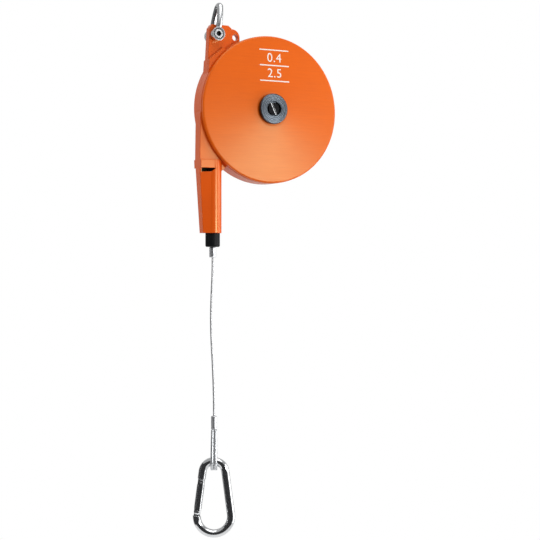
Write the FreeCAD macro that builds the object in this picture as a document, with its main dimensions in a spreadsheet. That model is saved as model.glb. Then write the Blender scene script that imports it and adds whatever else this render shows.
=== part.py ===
import FreeCAD, Part
import math
import os
import re
import Sketcher

# A spring balancer that carries a hand tool: a flat round housing with a rope drum
# and a spiral spring inside, a shackle above, and a wire rope with a snap hook below.
# Millimetres. +Z is up and the cover faces -Y. The origin is the inside top of the
# shackle's bow, where the hook that carries the balancer bears.

SIZES = {
    # shackle
    "bow_bar": 6.0,
    "bow_reach": 26.6,
    "bow_lean": 9.0,
    "bow_crown_radius": 4.2,
    "bow_leg": 8.0,
    "shackle_eye_radius": 6.6,
    "shackle_eye_thickness": 6.4,
    "jaw_gap": 0.3,
    "pin_radius": 3.0,
    "pin_head_radius": 4.0,
    "pin_head_height": 2.4,
    "pin_socket": 4.0,
    "pin_socket_depth": 2.4,
    # places
    "rope_offset": 2.2,
    "pin_level": 1.8,
    "flange_rim": 5.5,
    # housing and cover
    "case_radius": 73.2,
    "front_room": 0.775,
    "rear_room": 0.275,
    "case_wall": 3.6,
    "rim_bevel": 1.2,
    "dish_inset": 17.2,
    "dish_slope": 6.0,
    "dish_rise": 6.0,
    "rear_boss_radius": 14.0,
    "rear_boss_rise": 2.7,
    "cover_step": 0.3,
    "cover_rim": 4.0,
    "cover_bevel_drop": 0.84,
    "cone_rise": 3.6,
    "cover_wall": 3.0,
    "hub_flat_radius": 17.0,
    "hub_boss_radius": 11.5,
    "spigot_depth": 2.0,
    "spigot_wall": 2.0,
    "spigot_gap": 0.15,
    "screw_inset": 2.2,
    "screw_boss_radius": 3.2,
    "screw_radius": 1.5,
    "screw_head_radius": 2.75,
    "screw_head_height": 2.0,
    # lug, ear, spine and nozzle
    "lug_thickness": 8.0,
    "lug_top": 9.8,
    "lug_left": 7.0,
    "lug_taper": 2.7,
    "lug_depth": 42.0,
    "lug_chamfer": 3.6,
    "lug_chamfer_run": 2.5,
    "lug_slope": 3.4,
    "lug_slope_drop": 2.7,
    "lug_shoulder": 12.9,
    "lug_root": 18.0,
    "ear_setback": 2.0,
    "ear_reach": 21.2,
    "ear_drop": 1.1,
    "ear_corner_radius": 8.0,
    "ear_wall": 1.6,
    "ear_root": 14.4,
    "ear_hole_radius": 3.1,
    "saddle_drop": 25.0,
    "saddle_rise": 13.1,
    "saddle_reach": 6.7,
    "saddle_left": 1.6,
    "web_thickness": 12.4,
    "web_reach": 15.4,
    "web_lower_reach": 16.1,
    "web_top_drop": 6.0,
    "web_root": 8.0,
    "nozzle_rise": 21.7,
    "clamp_height": 8.2,
    "clamp_depth": 17.2,
    "nozzle_length": 71.7,
    "nozzle_radius": 8.74,
    "nozzle_reach": 15.8,
    "nozzle_tip_reach": 11.9,
    "nozzle_edge": 11.2,
    "nozzle_tip_edge": 9.0,
    "nozzle_tip_tangent": 2.5,
    "wedge_inset": 0.36,
    "window_height": 3.8,
    "window_low_height": 3.4,
    "window_reach": 14.6,
    "channel_radius": 4.0,
    "gusset_reach": 15.0,
    "gusset_thickness": 7.0,
    "gusset_drop": 12.3,
    "gusset_tip_drop": 4.9,
    # drum, spring and arbor
    "running_gap": 0.04,
    "seat_gap": 0.02,
    "axial_gap": 0.1,
    "rope_radius": 1.0,
    "winding_gap": 0.1,
    "winding_turns": 5,
    "winding_pitch": 2.05,
    "flange_gap": 0.7,
    "flange_thickness": 1.2,
    "drum_wall": 3.4,
    "drum_web": 2.0,
    "drum_boss_radius": 12.5,
    "drum_boss_front": 10.3,
    "drum_boss_rear": 10.5,
    "lid_thickness": 1.2,
    "lid_overlap": 4.0,
    "lid_screw_radius": 0.9,
    "lid_screw_head": 1.5,
    "lid_screw_height": 0.8,
    "lid_screw_length": 5.0,
    "bush_wall": 2.0,
    "journal_radius": 7.0,
    "spring_seat_radius": 10.0,
    "arbor_end_radius": 5.0,
    "thrust_washer": 0.7,
    "spring_strip": 0.6,
    "spring_side_gap": 0.4,
    "spring_turns": 11,
    "anchor_radius": 1.6,
    "collar_radius": 15.0,
    "collar_height": 4.5,
    "collar_recess_radius": 7.2,
    "collar_web": 1.5,
    "collar_chamfer": 0.8,
    "edge_chamfer": 0.56,
    "arbor_flat": 4.2,
    "lock_head_radius": 6.3,
    "lock_head_height": 2.3,
    "lock_slot": 1.7,
    "lock_slot_depth": 1.3,
    "lock_slot_angle": 25.0,
    "lock_screw_radius": 2.5,
    "lock_screw_length": 8.0,
    "ring_thickness": 1.0,
    "ring_radius": 7.4,
    "ring_groove": 0.6,
    "ring_slot": 3.0,
    "arbor_tail": 1.2,
    "washer_thickness": 0.8,
    "washer_radius": 9.0,
    # rope, guide, buffer and ferrules
    "guide_radius": 6.3,
    "guide_bore": 2.5,
    "guide_gap": 0.1,
    "buffer_shank": 8.0,
    "buffer_radius": 7.15,
    "buffer_height": 13.6,
    "buffer_round": 1.6,
    "buffer_bore": 1.6,
    "stop_gap": 0.2,
    "stop_radius": 3.3,
    "stop_length": 10.0,
    "stop_bevel": 0.5,
    "hang_side": 1.4,
    "hang_drop": 155.9,
    "hang_last_run": 12.9,
    "eye_ferrule_radius": 2.85,
    "eye_ferrule_length": 13.0,
    "eye_length": 40.4,
    "eye_inner_radius": 5.0,
    "thimble_wall": 1.2,
    "thimble_lip": 3.0,
    "thimble_width": 6.2,
    "thimble_side": 1.0,
    "thimble_start": 7.0,
    "thimble_throat": 2.8,
    "strand_gap": 0.1,
    # snap hook
    "hook_yaw": -25.6,
    "hook_wire": 8.0,
    "hook_length": 79.0,
    "hook_width": 41.6,
    "hook_top_radius": 11.2,
    "hook_seat_gap": 0.1,
    "nose_start": 7.4,
    "gate_length": 32.6,
    "gate_end_gap": 0.4,
    "tongue_thickness": 3.0,
    "tongue_gap": 0.3,
    "tongue_length": 5.4,
    "rivet_radius": 1.25,
    "gate_wire": 7.6,
    "gate_bore": 1.6,
    "gate_bore_depth": 13.0,
    "gate_spring_wire": 0.3,
    "gate_spring_turns": 7,
    "latch_at": 2.6,
    "latch_gap": 0.25,
    "tongue_half": 2.2,
    "tongue_root": 2.0,
    "plunger_length": 4.0,
}

# Sizes that follow from the ones above, in the sheet's own formulas.
DERIVED = {
    "cavity_radius": "case_radius - case_wall",
    "cover_radius": "case_radius - cover_step",
    "dish_radius": "case_radius - dish_inset",
    "screw_circle": "cavity_radius - screw_inset",
    "flange_radius": "screw_circle - screw_boss_radius - flange_gap",
    "rope_pitch_radius": "flange_radius - flange_rim",
    "drum_drop": "case_radius - pin_level",
    "nozzle_top_drop": "case_radius - nozzle_rise",
    "channel_top_drop": "case_radius / 3",
    "pin_x": "-bow_reach * sin(bow_lean * 1 deg)",
    "pin_z": "-bow_reach * cos(bow_lean * 1 deg)",
    "rope_x": "pin_x - rope_offset",
    "drum_x": "rope_x + rope_pitch_radius",
    "drum_z": "pin_z - drum_drop",
    "jaw_half": "lug_thickness / 2 + jaw_gap",
    "eye_y": "jaw_half + shackle_eye_thickness / 2",
    "eye_face": "jaw_half + shackle_eye_thickness",
    "crown_z": "bow_reach + bow_bar / 2 - bow_crown_radius",
    "bow_side_radius": "(eye_y ^ 2 + (crown_z - bow_leg) ^ 2 - bow_crown_radius ^ 2)"
                       " / (2 * (eye_y - bow_crown_radius))",
    "bow_reach_share": "bow_side_radius / (bow_side_radius - bow_crown_radius)",
    "bow_join_y": "(eye_y - bow_side_radius) * (1 - bow_reach_share)",
    "bow_join_z": "bow_leg + (crown_z - bow_leg) * bow_reach_share",
    "channel_half": "winding_turns * winding_pitch / 2 + winding_gap",
    "flange_face": "channel_half + flange_thickness",
    "lid_face": "flange_face + lid_thickness",
    "case_front": "flange_face + front_room",
    "case_rear": "lid_face + lid_screw_height + rear_room + case_wall",
    "cover_face": "case_front + cover_rim",
    "hub_face": "cover_face + cone_rise",
    "dish_face": "case_rear + dish_rise",
    "rear_face": "dish_face + rear_boss_rise",
    "front_seat": "drum_boss_front + 2 * axial_gap + thrust_washer",
    "rear_seat": "drum_boss_rear + 2 * axial_gap + thrust_washer",
    "core_radius": "rope_pitch_radius - rope_radius - winding_gap",
    "chamber_radius": "core_radius - drum_wall",
    "chamber_front": "flange_face - drum_web",
    "lid_radius": "chamber_radius + lid_overlap",
    "lid_screw_circle": "chamber_radius + drum_wall / 2",
    "bush_radius": "journal_radius + bush_wall",
    "end_bush_radius": "arbor_end_radius + bush_wall",
    "collar_face": "hub_face + collar_height",
    "recess_floor": "hub_face + collar_web",
    "ring_front": "rear_face + 2 * axial_gap + washer_thickness",
    "arbor_end": "ring_front + ring_thickness + arbor_tail",
    "nozzle_top_z": "drum_z - nozzle_top_drop",
    "nozzle_z": "nozzle_top_z - nozzle_length",
    "guide_top_z": "nozzle_top_z - clamp_height",
    "nozzle_bore": "guide_radius + guide_gap",
    "buffer_z": "nozzle_z - buffer_height",
    "stop_top_z": "buffer_z - stop_gap",
    "stop_z": "stop_top_z - stop_length",
    "winding_edge": "rope_pitch_radius + winding_pitch / 2 + seat_gap",
    "lead_start": "sqrt((winding_edge + winding_gap) ^ 2 - (rope_pitch_radius - rope_radius) ^ 2)",
    "hook_bar_radius": "(hook_width - hook_wire) / 2",
    "hook_height": "hook_length - hook_wire",
    "hook_spread": "hook_height - hook_top_radius - hook_bar_radius",
    "limb_tilt": "asin((hook_bar_radius - hook_top_radius) / hook_spread)",
    "eye_path_radius": "eye_inner_radius + thimble_wall + rope_radius",
    "eye_depth": "thimble_wall + thimble_lip",
    "hang_x": "rope_x + hang_side",
    "hang_z": "stop_z - hang_drop",
    "eye_top_z": "hang_z - eye_ferrule_length",
    "eye_centre": "eye_length - eye_depth - eye_inner_radius",
    "strand_half": "rope_radius + strand_gap / 2",
    "strand_reach": "sqrt(strand_half ^ 2 + eye_centre ^ 2)",
    "strand_cos": "eye_path_radius / strand_reach",
    "strand_sin": "sqrt(1 - strand_cos ^ 2)",
    "strand_y": "eye_path_radius * (strand_half * strand_cos + eye_centre * strand_sin)"
                " / strand_reach",
    "strand_z": "eye_path_radius * (eye_centre * strand_cos - strand_half * strand_sin)"
                " / strand_reach - eye_centre",
    "ring_inner_radius": "hook_top_radius - hook_wire / 2",
    "ring_dip": "ring_inner_radius - sqrt(ring_inner_radius ^ 2 - (thimble_width / 2) ^ 2)",
    "bar_z": "eye_top_z - eye_length + eye_depth + hook_wire / 2 + ring_dip + hook_seat_gap",
    "nose_end": "nose_start + tongue_length",
    "hinge_at": "nose_start + gate_length",
    "gate_start": "nose_start + gate_end_gap",
    "limb_end": "hinge_at + gate_wire / 2 + gate_end_gap",
    "slot_start": "hinge_at - tongue_thickness - tongue_gap",
    "latch_place": "nose_start + latch_at",
    "plunger_tip": "hinge_at - tongue_thickness - seat_gap",
}

# The route of the free rope below the stop ferrule: sideways from the rope's line and down from
# the ferrule. It hangs in the slight double bend that a wire rope keeps from its drum, and ends
# at the eye ferrule, hang_side and hang_drop away.
ROPE_ROUTE = [
    (0.0, 0.0),
    (0.0, -14.0),
    (-1.1, -34.0),
    (-1.9, -56.0),
    (-1.5, -79.0),
    (-0.1, -102.0),
    (0.9, -124.0),
]

doc = FreeCAD.newDocument("ToolBalancer")
sheet = doc.addObject("Spreadsheet::Sheet", "Sizes")


def fill_sheet():
    """Write the driving sizes, then the sizes that follow from them, one row each."""
    rows = list(SIZES.items()) + [(name, "=" + text) for name, text in DERIVED.items()]
    for row, (name, content) in enumerate(rows, start=1):
        sheet.set("A%d" % row, name)
        sheet.set("B%d" % row, str(content))
        sheet.setAlias("B%d" % row, name)
    doc.recompute()


def on_sheet(text):
    """Return an expression with each size's name written as the document refers to it."""
    known = SIZES.keys() | DERIVED.keys()
    return re.sub(r"[a-z_]+", lambda word: "Sizes." + word[0] if word[0] in known else word[0], text)


def size(text):
    """Return the present value of an expression on the sheet's sizes."""
    result = sheet.evalExpression(text)
    return float(getattr(result, "Value", result))


def bind(thing, path, text):
    """Tie a property to an expression on the sheet."""
    thing.setExpression(path, on_sheet(text))


def place(thing, x="0", y="0", z="0", axis=None, angle=None):
    """Put a sub-part at expressions, turned about one axis if given."""
    if axis is not None:
        thing.Placement = FreeCAD.Placement(FreeCAD.Vector(), FreeCAD.Rotation(axis, size(angle)))
        bind(thing, "Placement.Rotation.Angle", angle)
    bind(thing, "Placement.Base.x", x)
    bind(thing, "Placement.Base.y", y)
    bind(thing, "Placement.Base.z", z)


UP = FreeCAD.Vector(0, 0, 1)
ACROSS = FreeCAD.Vector(0, 1, 0)


def new_body(name, **where):
    """Return a new body with its label and place."""
    body = doc.addObject("PartDesign::Body", name)
    body.Label = name
    place(body, **where)
    return body


def new_sketch(body, plane, lift=None):
    """Return a sketch on one of the body's own planes, lifted along the plane's normal."""
    sketch = body.newObject("Sketcher::SketchObject", body.Name + "_sketch")
    support = [item for item in body.Origin.OriginFeatures if item.Role == plane]
    sketch.AttachmentSupport = (support[0], [""])
    sketch.MapMode = "FlatFace"
    if lift is not None:
        bind(sketch, "AttachmentOffset.Base.z", lift)
    return sketch


def hold(sketch, kind, edge, end, text):
    """Hold one coordinate of a point at an expression, or on the axis when it is 0."""
    if text == "0":
        axis = -2 if kind == "DistanceX" else -1
        sketch.addConstraint(Sketcher.Constraint("PointOnObject", edge, end, axis))
    else:
        index = sketch.addConstraint(Sketcher.Constraint(kind, -1, 1, edge, end, size(text)))
        bind(sketch, "Constraints[%d]" % index, text)


def arc_through(start, end, radius, turn):
    """Return the shorter arc between two points, turning left (+1) or right (-1)."""
    chord = end - start
    half = chord.Length / 2
    rise = radius - math.sqrt(max(radius ** 2 - half ** 2, 0.0))
    left = FreeCAD.Vector(-chord.y, chord.x, 0).normalize()
    middle = start + chord * 0.5 - left * (rise * turn)
    return Part.Arc(start, middle, end)


def draw(sketch, points, closed=True):
    """Draw an outline. A point is (x, y), or (x, y, radius, turn) where an arc arrives."""
    spots = [FreeCAD.Vector(size(point[0]), size(point[1]), 0) for point in points]
    joints = []
    for index in range(len(points) if closed else len(points) - 1):
        after = (index + 1) % len(points)
        if len(points[after]) == 2:
            edge = sketch.addGeometry(Part.LineSegment(spots[index], spots[after]))
            joints.append((edge, 1, 2))
        else:
            radius, turn = points[after][2:]
            arc = arc_through(spots[index], spots[after], size(radius), turn)
            edge = sketch.addGeometry(arc)
            joints.append((edge, 1, 2) if turn > 0 else (edge, 2, 1))
            held = sketch.addConstraint(Sketcher.Constraint("Radius", edge, size(radius)))
            bind(sketch, "Constraints[%d]" % held, radius)
    for index, (edge, start, end) in enumerate(joints):
        if closed or index + 1 < len(joints):
            other = joints[(index + 1) % len(joints)]
            sketch.addConstraint(Sketcher.Constraint("Coincident", edge, end, other[0], other[1]))
        hold(sketch, "DistanceX", edge, start, points[index][0])
        hold(sketch, "DistanceY", edge, start, points[index][1])
    if not closed:
        edge, _, end = joints[-1]
        hold(sketch, "DistanceX", edge, end, points[-1][0])
        hold(sketch, "DistanceY", edge, end, points[-1][1])


def draw_circle(sketch, x, y, radius):
    """Draw a circle whose centre and radius follow the sheet."""
    centre = FreeCAD.Vector(size(x), size(y), 0)
    edge = sketch.addGeometry(Part.Circle(centre, UP, size(radius)))
    hold(sketch, "DistanceX", edge, 3, x)
    hold(sketch, "DistanceY", edge, 3, y)
    held = sketch.addConstraint(Sketcher.Constraint("Radius", edge, size(radius)))
    bind(sketch, "Constraints[%d]" % held, radius)


def feature(body, kind, sketch):
    """Add a feature of this kind to the body, made from the sketch."""
    made = body.newObject("PartDesign::" + kind, body.Name + "_" + kind.lower())
    made.Profile = sketch
    return made


def turn(body, points, plane="XY_Plane", kind="Revolution"):
    """Turn an outline of (radius, along) points about the plane's upright axis."""
    sketch = new_sketch(body, plane)
    draw(sketch, points)
    made = feature(body, kind, sketch)
    made.ReferenceAxis = (sketch, ["V_Axis"])
    made.Angle = 360
    return made


def pad(body, sketch, length, kind="Pad"):
    """Pad or pocket a sketch by half of the length to each side."""
    made = feature(body, kind, sketch)
    made.SideType = "Symmetric"
    bind(made, "Length", length)
    return made


def plate(body, points, thickness, kind="Pad"):
    """Pad or pocket an outline of (x, z) points, centred on the rope's plane."""
    sketch = new_sketch(body, "XZ_Plane")
    draw(sketch, points)
    return pad(body, sketch, thickness, kind)


def cross_hole(body, x, z, radius, length):
    """Cut a round hole along Y, centred on the rope's plane."""
    sketch = new_sketch(body, "XZ_Plane")
    draw_circle(sketch, x, z, radius)
    return pad(body, sketch, length, "Pocket")


def round_slab(body, plane, lift, x, y, radius, length, kind="Pad", back=False):
    """Pad or pocket a circle from a lifted plane, along the plane's normal or against it."""
    sketch = new_sketch(body, plane, lift)
    draw_circle(sketch, x, y, radius)
    made = feature(body, kind, sketch)
    bind(made, "Length", length)
    made.Reversed = back
    return made


def sweep(body, plane, x, y, radius, path_plane, path, closed=False):
    """Sweep a circle along a path drawn on another plane."""
    section = new_sketch(body, plane)
    draw_circle(section, x, y, radius)
    line = new_sketch(body, path_plane)
    draw(line, path, closed)
    made = feature(body, "AdditivePipe", section)
    made.Spine = (line, [])
    made.Transition = "Right corner"
    return made


def solid_feature(name, shape, **where):
    """Return a sub-part whose shape is worked out in code, with its place set after it."""
    thing = doc.addObject("Part::Feature", name)
    thing.Label = name
    thing.Shape = shape
    place(thing, **where)
    return thing


AT_DRUM = {"x": "drum_x", "z": "drum_z"}
AT_ROPE = {"x": "rope_x"}
AT_HOOK = {"x": "hang_x", "z": "bar_z", "axis": UP, "angle": "hook_yaw"}
AT_EYE = {"x": "hang_x", "z": "eye_top_z", "axis": UP, "angle": "hook_yaw"}
THROUGH = "4 * (case_rear + dish_rise)"
LINE = "-rope_pitch_radius"
PIN = "rope_offset - rope_pitch_radius"
SCREW_COUNT = 4
SCREW_START = 45.0
LID_SCREW_COUNT = 3
LID_SCREW_START = 30.0
SOCKET_START = 10
SOCKET_SIDES = 6
BEND_SHARE = 0.45


def round_places(radius, count, start):
    """Return x and z expressions of places spaced evenly round the drum's axis."""
    angles = [start + 360.0 / count * step for step in range(count)]
    return [("%s * cos(%s deg)" % (radius, a), "%s * sin(%s deg)" % (radius, a)) for a in angles]


def round_group(body, lift, places, radius, length, kind="Pad", back=False):
    """Pad or pocket equal circles from a plane lifted towards the cover."""
    sketch = new_sketch(body, "XZ_Plane", lift)
    for x, z in places:
        draw_circle(sketch, x, z, radius)
    made = feature(body, kind, sketch)
    bind(made, "Length", length)
    made.Reversed = back
    return made


def make_housing():
    """The casting: round housing, suspension lug, safety ear, spine and rope nozzle."""
    body = new_body("housing", **AT_DRUM)
    turn(body, [
        ("0", "-case_front"),
        ("case_radius", "-case_front"),
        ("case_radius", "case_rear - rim_bevel"),
        ("case_radius - rim_bevel", "case_rear"),
        ("dish_radius + dish_slope", "case_rear"),
        ("dish_radius", "dish_face"),
        ("rear_boss_radius + rear_boss_rise", "dish_face"),
        ("rear_boss_radius", "rear_face"),
        ("0", "rear_face"),
    ])
    add_lug(body)
    add_spine(body)
    hollow_housing(body)
    return body


def add_lug(body):
    """Add the suspension lug, the ear beside it and the saddle that joins them to the rim."""
    left = PIN + " - lug_left"
    low_left = (left + " - lug_taper", "drum_drop - lug_depth")
    plate(body, [
        (left, "drum_drop + lug_top - lug_chamfer"),
        (left + " + lug_chamfer_run", "drum_drop + lug_top"),
        (PIN + " + lug_shoulder", "drum_drop + lug_top"),
        (PIN + " + lug_shoulder + lug_slope", "drum_drop + lug_top - lug_slope_drop"),
        (PIN + " + lug_shoulder + lug_slope", "case_radius - lug_root"),
        (PIN + " + lug_shoulder", "drum_drop - lug_depth"),
        low_left,
    ], "lug_thickness")
    ear_right = PIN + " + ear_reach + ear_hole_radius + ear_wall"
    sketch = new_sketch(body, "XZ_Plane", "-lug_thickness / 2")
    draw(sketch, [
        (PIN + " + lug_shoulder", "drum_drop - ear_drop + ear_corner_radius"),
        (PIN + " + lug_shoulder", "case_radius - ear_root"),
        (ear_right, "case_radius - ear_root"),
        (ear_right, "drum_drop - ear_drop"),
        (ear_right + " - ear_corner_radius", "drum_drop - ear_drop + ear_corner_radius",
         "ear_corner_radius", 1),
    ])
    ear = feature(body, "Pad", sketch)
    bind(ear, "Length", "lug_thickness - ear_setback")
    plate(body, [
        (left + " - saddle_left", "drum_drop - saddle_drop"),
        (PIN + " + saddle_reach", "drum_drop - saddle_drop + saddle_rise"),
        (PIN + " + lug_shoulder + lug_slope", "drum_drop - saddle_drop"),
        (PIN + " + lug_shoulder", "drum_drop - lug_depth"),
        low_left,
    ], "2 * case_front")
    cross_hole(body, PIN, "drum_drop", "pin_radius + running_gap", THROUGH)
    cross_hole(body, PIN + " + ear_reach", "drum_drop - ear_drop", "ear_hole_radius", THROUGH)


def add_spine(body):
    """Add the spine beside the rim, the clamp block, the nozzle and its side wedge."""
    plate(body, [
        ("case_wall - case_radius", "0"),
        (LINE + " - web_reach", "-web_top_drop"),
        (LINE + " - web_lower_reach", "-nozzle_top_drop"),
        (LINE + " + web_root", "-nozzle_top_drop"),
        ("-case_radius / 2", "-channel_top_drop"),
    ], "web_thickness")
    plate(body, [
        (LINE + " - web_lower_reach", "-nozzle_top_drop"),
        (LINE + " - nozzle_reach", "-nozzle_top_drop - clamp_height"),
        (LINE, "-nozzle_top_drop - clamp_height"),
        (LINE, "-nozzle_top_drop"),
    ], "clamp_depth")
    round_slab(body, "XY_Plane", "-nozzle_top_drop", LINE, "0", "nozzle_radius", "nozzle_length",
               back=True)
    upper = new_sketch(body, "XY_Plane", "-nozzle_top_drop - clamp_height")
    draw(upper, [
        (LINE + " - nozzle_reach", "-nozzle_edge / 2"),
        (LINE, "wedge_inset - nozzle_radius"),
        (LINE, "nozzle_radius - wedge_inset"),
        (LINE + " - nozzle_reach", "nozzle_edge / 2"),
    ])
    lower = new_sketch(body, "XY_Plane", "-nozzle_top_drop - nozzle_length")
    tangent = "(sqrt(nozzle_radius ^ 2 - nozzle_tip_tangent ^ 2) - wedge_inset)"
    draw(lower, [
        (LINE + " - nozzle_tip_reach", "-nozzle_tip_edge / 2"),
        (LINE + " - nozzle_tip_tangent", "-" + tangent),
        (LINE + " - nozzle_tip_tangent", tangent),
        (LINE + " - nozzle_tip_reach", "nozzle_tip_edge / 2"),
    ])
    wedge = feature(body, "AdditiveLoft", upper)
    wedge.Sections = [lower]
    plate(body, [
        (LINE + " + nozzle_radius - nozzle_tip_tangent", "-nozzle_top_drop - gusset_drop"),
        (LINE + " + gusset_reach", "-nozzle_top_drop - gusset_tip_drop"),
        (LINE + " + nozzle_radius - nozzle_tip_tangent", "-nozzle_top_drop + clamp_height"),
    ], "gusset_thickness")


def hollow_housing(body):
    """Cut the drum's space, the rope's way out, the window and the screw and bearing holes."""
    turn(body, [
        ("0", "-case_front - case_wall"),
        ("cavity_radius", "-case_front - case_wall"),
        ("cavity_radius", "case_rear - case_wall"),
        ("dish_radius + dish_slope - case_wall / 2", "case_rear - case_wall"),
        ("dish_radius - case_wall / 2", "dish_face - case_wall"),
        ("hub_boss_radius", "dish_face - case_wall"),
        ("hub_boss_radius", "rear_seat"),
        ("0", "rear_seat"),
    ], kind="Groove")
    cross_hole(body, "0", "0", "end_bush_radius", THROUGH)
    places = round_places("screw_circle", SCREW_COUNT, SCREW_START)
    boss_front = "case_front - spigot_depth - axial_gap"
    round_group(body, boss_front, places, "screw_boss_radius",
                boss_front + " + case_rear - case_wall / 2", back=True)
    round_group(body, boss_front, places, "screw_radius + seat_gap", THROUGH, "Pocket")
    round_group(body, "-case_rear", places, "screw_head_radius + seat_gap",
                "screw_head_height + axial_gap", "Pocket", back=True)
    round_slab(body, "XY_Plane", "-channel_top_drop", LINE, "0", "channel_radius",
               "nozzle_length + case_radius", "Pocket")
    round_slab(body, "XY_Plane", "-nozzle_top_drop - clamp_height", LINE, "0", "nozzle_bore",
               "nozzle_length", "Pocket")
    window = new_sketch(body, "XZ_Plane")
    window_top = "-nozzle_top_drop - clamp_height"
    draw(window, [
        (LINE + " - window_reach", window_top),
        (LINE + " - window_reach", window_top + " - window_height"),
        (LINE + " - channel_radius", window_top + " - window_low_height"),
        (LINE, window_top),
    ])
    cut = feature(body, "Pocket", window)
    bind(cut, "Length", "clamp_depth")
    cut.Reversed = True


def make_front_cover():
    """The shallow conical cover, with its spigot, its hub and its screw bosses."""
    body = new_body("front_cover", **AT_DRUM)
    spigot = "cavity_radius - spigot_gap"
    turn(body, [
        ("end_bush_radius", "-hub_face"),
        ("hub_flat_radius", "-hub_face"),
        ("cover_radius - rim_bevel", "-cover_face"),
        ("cover_radius", "cover_bevel_drop - cover_face"),
        ("cover_radius", "-case_front"),
        (spigot, "-case_front"),
        (spigot, "spigot_depth - case_front"),
        (spigot + " - spigot_wall", "spigot_depth - case_front"),
        (spigot + " - spigot_wall", "cover_wall - cover_face"),
        ("hub_flat_radius", "cover_wall - hub_face"),
        ("hub_boss_radius", "cover_wall - hub_face"),
        ("hub_boss_radius", "-front_seat"),
        ("end_bush_radius", "-front_seat"),
    ])
    places = round_places("screw_circle", SCREW_COUNT, SCREW_START)
    round_group(body, "case_front - spigot_depth", places, "screw_boss_radius",
                "spigot_depth + cover_rim - rim_bevel")
    turn(body, [
        (spigot, "-case_front"),
        ("case_radius", "-case_front"),
        ("case_radius", "spigot_depth - case_front + axial_gap"),
        (spigot, "spigot_depth - case_front + axial_gap"),
    ], kind="Groove")
    round_group(body, "case_front - spigot_depth", places, "screw_radius + seat_gap",
                "spigot_depth + cover_rim - rim_bevel", "Pocket", back=True)


def tube(name, inner, outer, low, high, plane="XY_Plane", **where):
    """A plain ring between two places along its axis."""
    body = new_body(name, **where)
    turn(body, [(inner, low), (outer, low), (outer, high), (inner, high)], plane)
    return body


def make_bearings():
    """The bushes, washers and ring that carry the arbor and the drum."""
    end_bore = "arbor_end_radius + running_gap"
    end_outer = "end_bush_radius - seat_gap"
    tube("front_bush", end_bore, end_outer, "-hub_face", "-front_seat", **AT_DRUM)
    tube("rear_bush", end_bore, end_outer, "rear_seat", "rear_face", **AT_DRUM)
    tube("thrust_washer_front", end_bore, "hub_boss_radius", "-drum_boss_front - axial_gap",
         "-drum_boss_front - axial_gap - thrust_washer", **AT_DRUM)
    tube("thrust_washer_rear", end_bore, "hub_boss_radius", "drum_boss_rear + axial_gap",
         "drum_boss_rear + axial_gap + thrust_washer", **AT_DRUM)
    tube("arbor_washer", end_bore, "washer_radius", "rear_face + axial_gap",
         "rear_face + axial_gap + washer_thickness", **AT_DRUM)
    ring = tube("retaining_ring", "arbor_end_radius - ring_groove + seat_gap", "ring_radius",
                "ring_front", "ring_front + ring_thickness - axial_gap", **AT_DRUM)
    plate(ring, [
        ("-ring_slot / 2", "0"),
        ("ring_slot / 2", "0"),
        ("ring_slot / 2", "-2 * ring_radius"),
        ("-ring_slot / 2", "-2 * ring_radius"),
    ], THROUGH, "Pocket")
    journal_bore = "journal_radius + running_gap"
    journal_outer = "bush_radius - seat_gap"
    tube("drum_bush_front", journal_bore, journal_outer, "-drum_boss_front", "-chamber_front",
         **AT_DRUM)
    tube("drum_bush_rear", journal_bore, journal_outer, "flange_face", "drum_boss_rear", **AT_DRUM)


def make_arbor():
    """The shaft that holds the spring's inner end, with flats for the collar."""
    body = new_body("spring_arbor", **AT_DRUM)
    seat_front = "axial_gap - chamber_front"
    seat_rear = "flange_face - axial_gap"
    groove = "arbor_end_radius - ring_groove"
    turn(body, [
        ("0", "axial_gap - recess_floor"),
        ("arbor_end_radius", "axial_gap - recess_floor"),
        ("arbor_end_radius", "-drum_boss_front"),
        ("journal_radius", "-drum_boss_front"),
        ("journal_radius", seat_front),
        ("spring_seat_radius", seat_front),
        ("spring_seat_radius", seat_rear),
        ("journal_radius", seat_rear),
        ("journal_radius", "drum_boss_rear"),
        ("arbor_end_radius", "drum_boss_rear"),
        ("arbor_end_radius", "ring_front"),
        (groove, "ring_front"),
        (groove, "ring_front + ring_thickness"),
        ("arbor_end_radius", "ring_front + ring_thickness"),
        ("arbor_end_radius", "arbor_end"),
        ("0", "arbor_end"),
    ])
    flats = new_sketch(body, "XZ_Plane", "recess_floor")
    for side in ("", "-"):
        draw(flats, [
            (side + "arbor_flat", "-2 * arbor_end_radius"),
            (side + "2 * arbor_end_radius", "-2 * arbor_end_radius"),
            (side + "2 * arbor_end_radius", "2 * arbor_end_radius"),
            (side + "arbor_flat", "2 * arbor_end_radius"),
        ])
    cut = feature(body, "Pocket", flats)
    bind(cut, "Length", "collar_web")
    round_slab(body, "XZ_Plane", "recess_floor", "0", "0", "lock_screw_radius + seat_gap",
               "lock_screw_length + lock_screw_radius", "Pocket")


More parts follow.
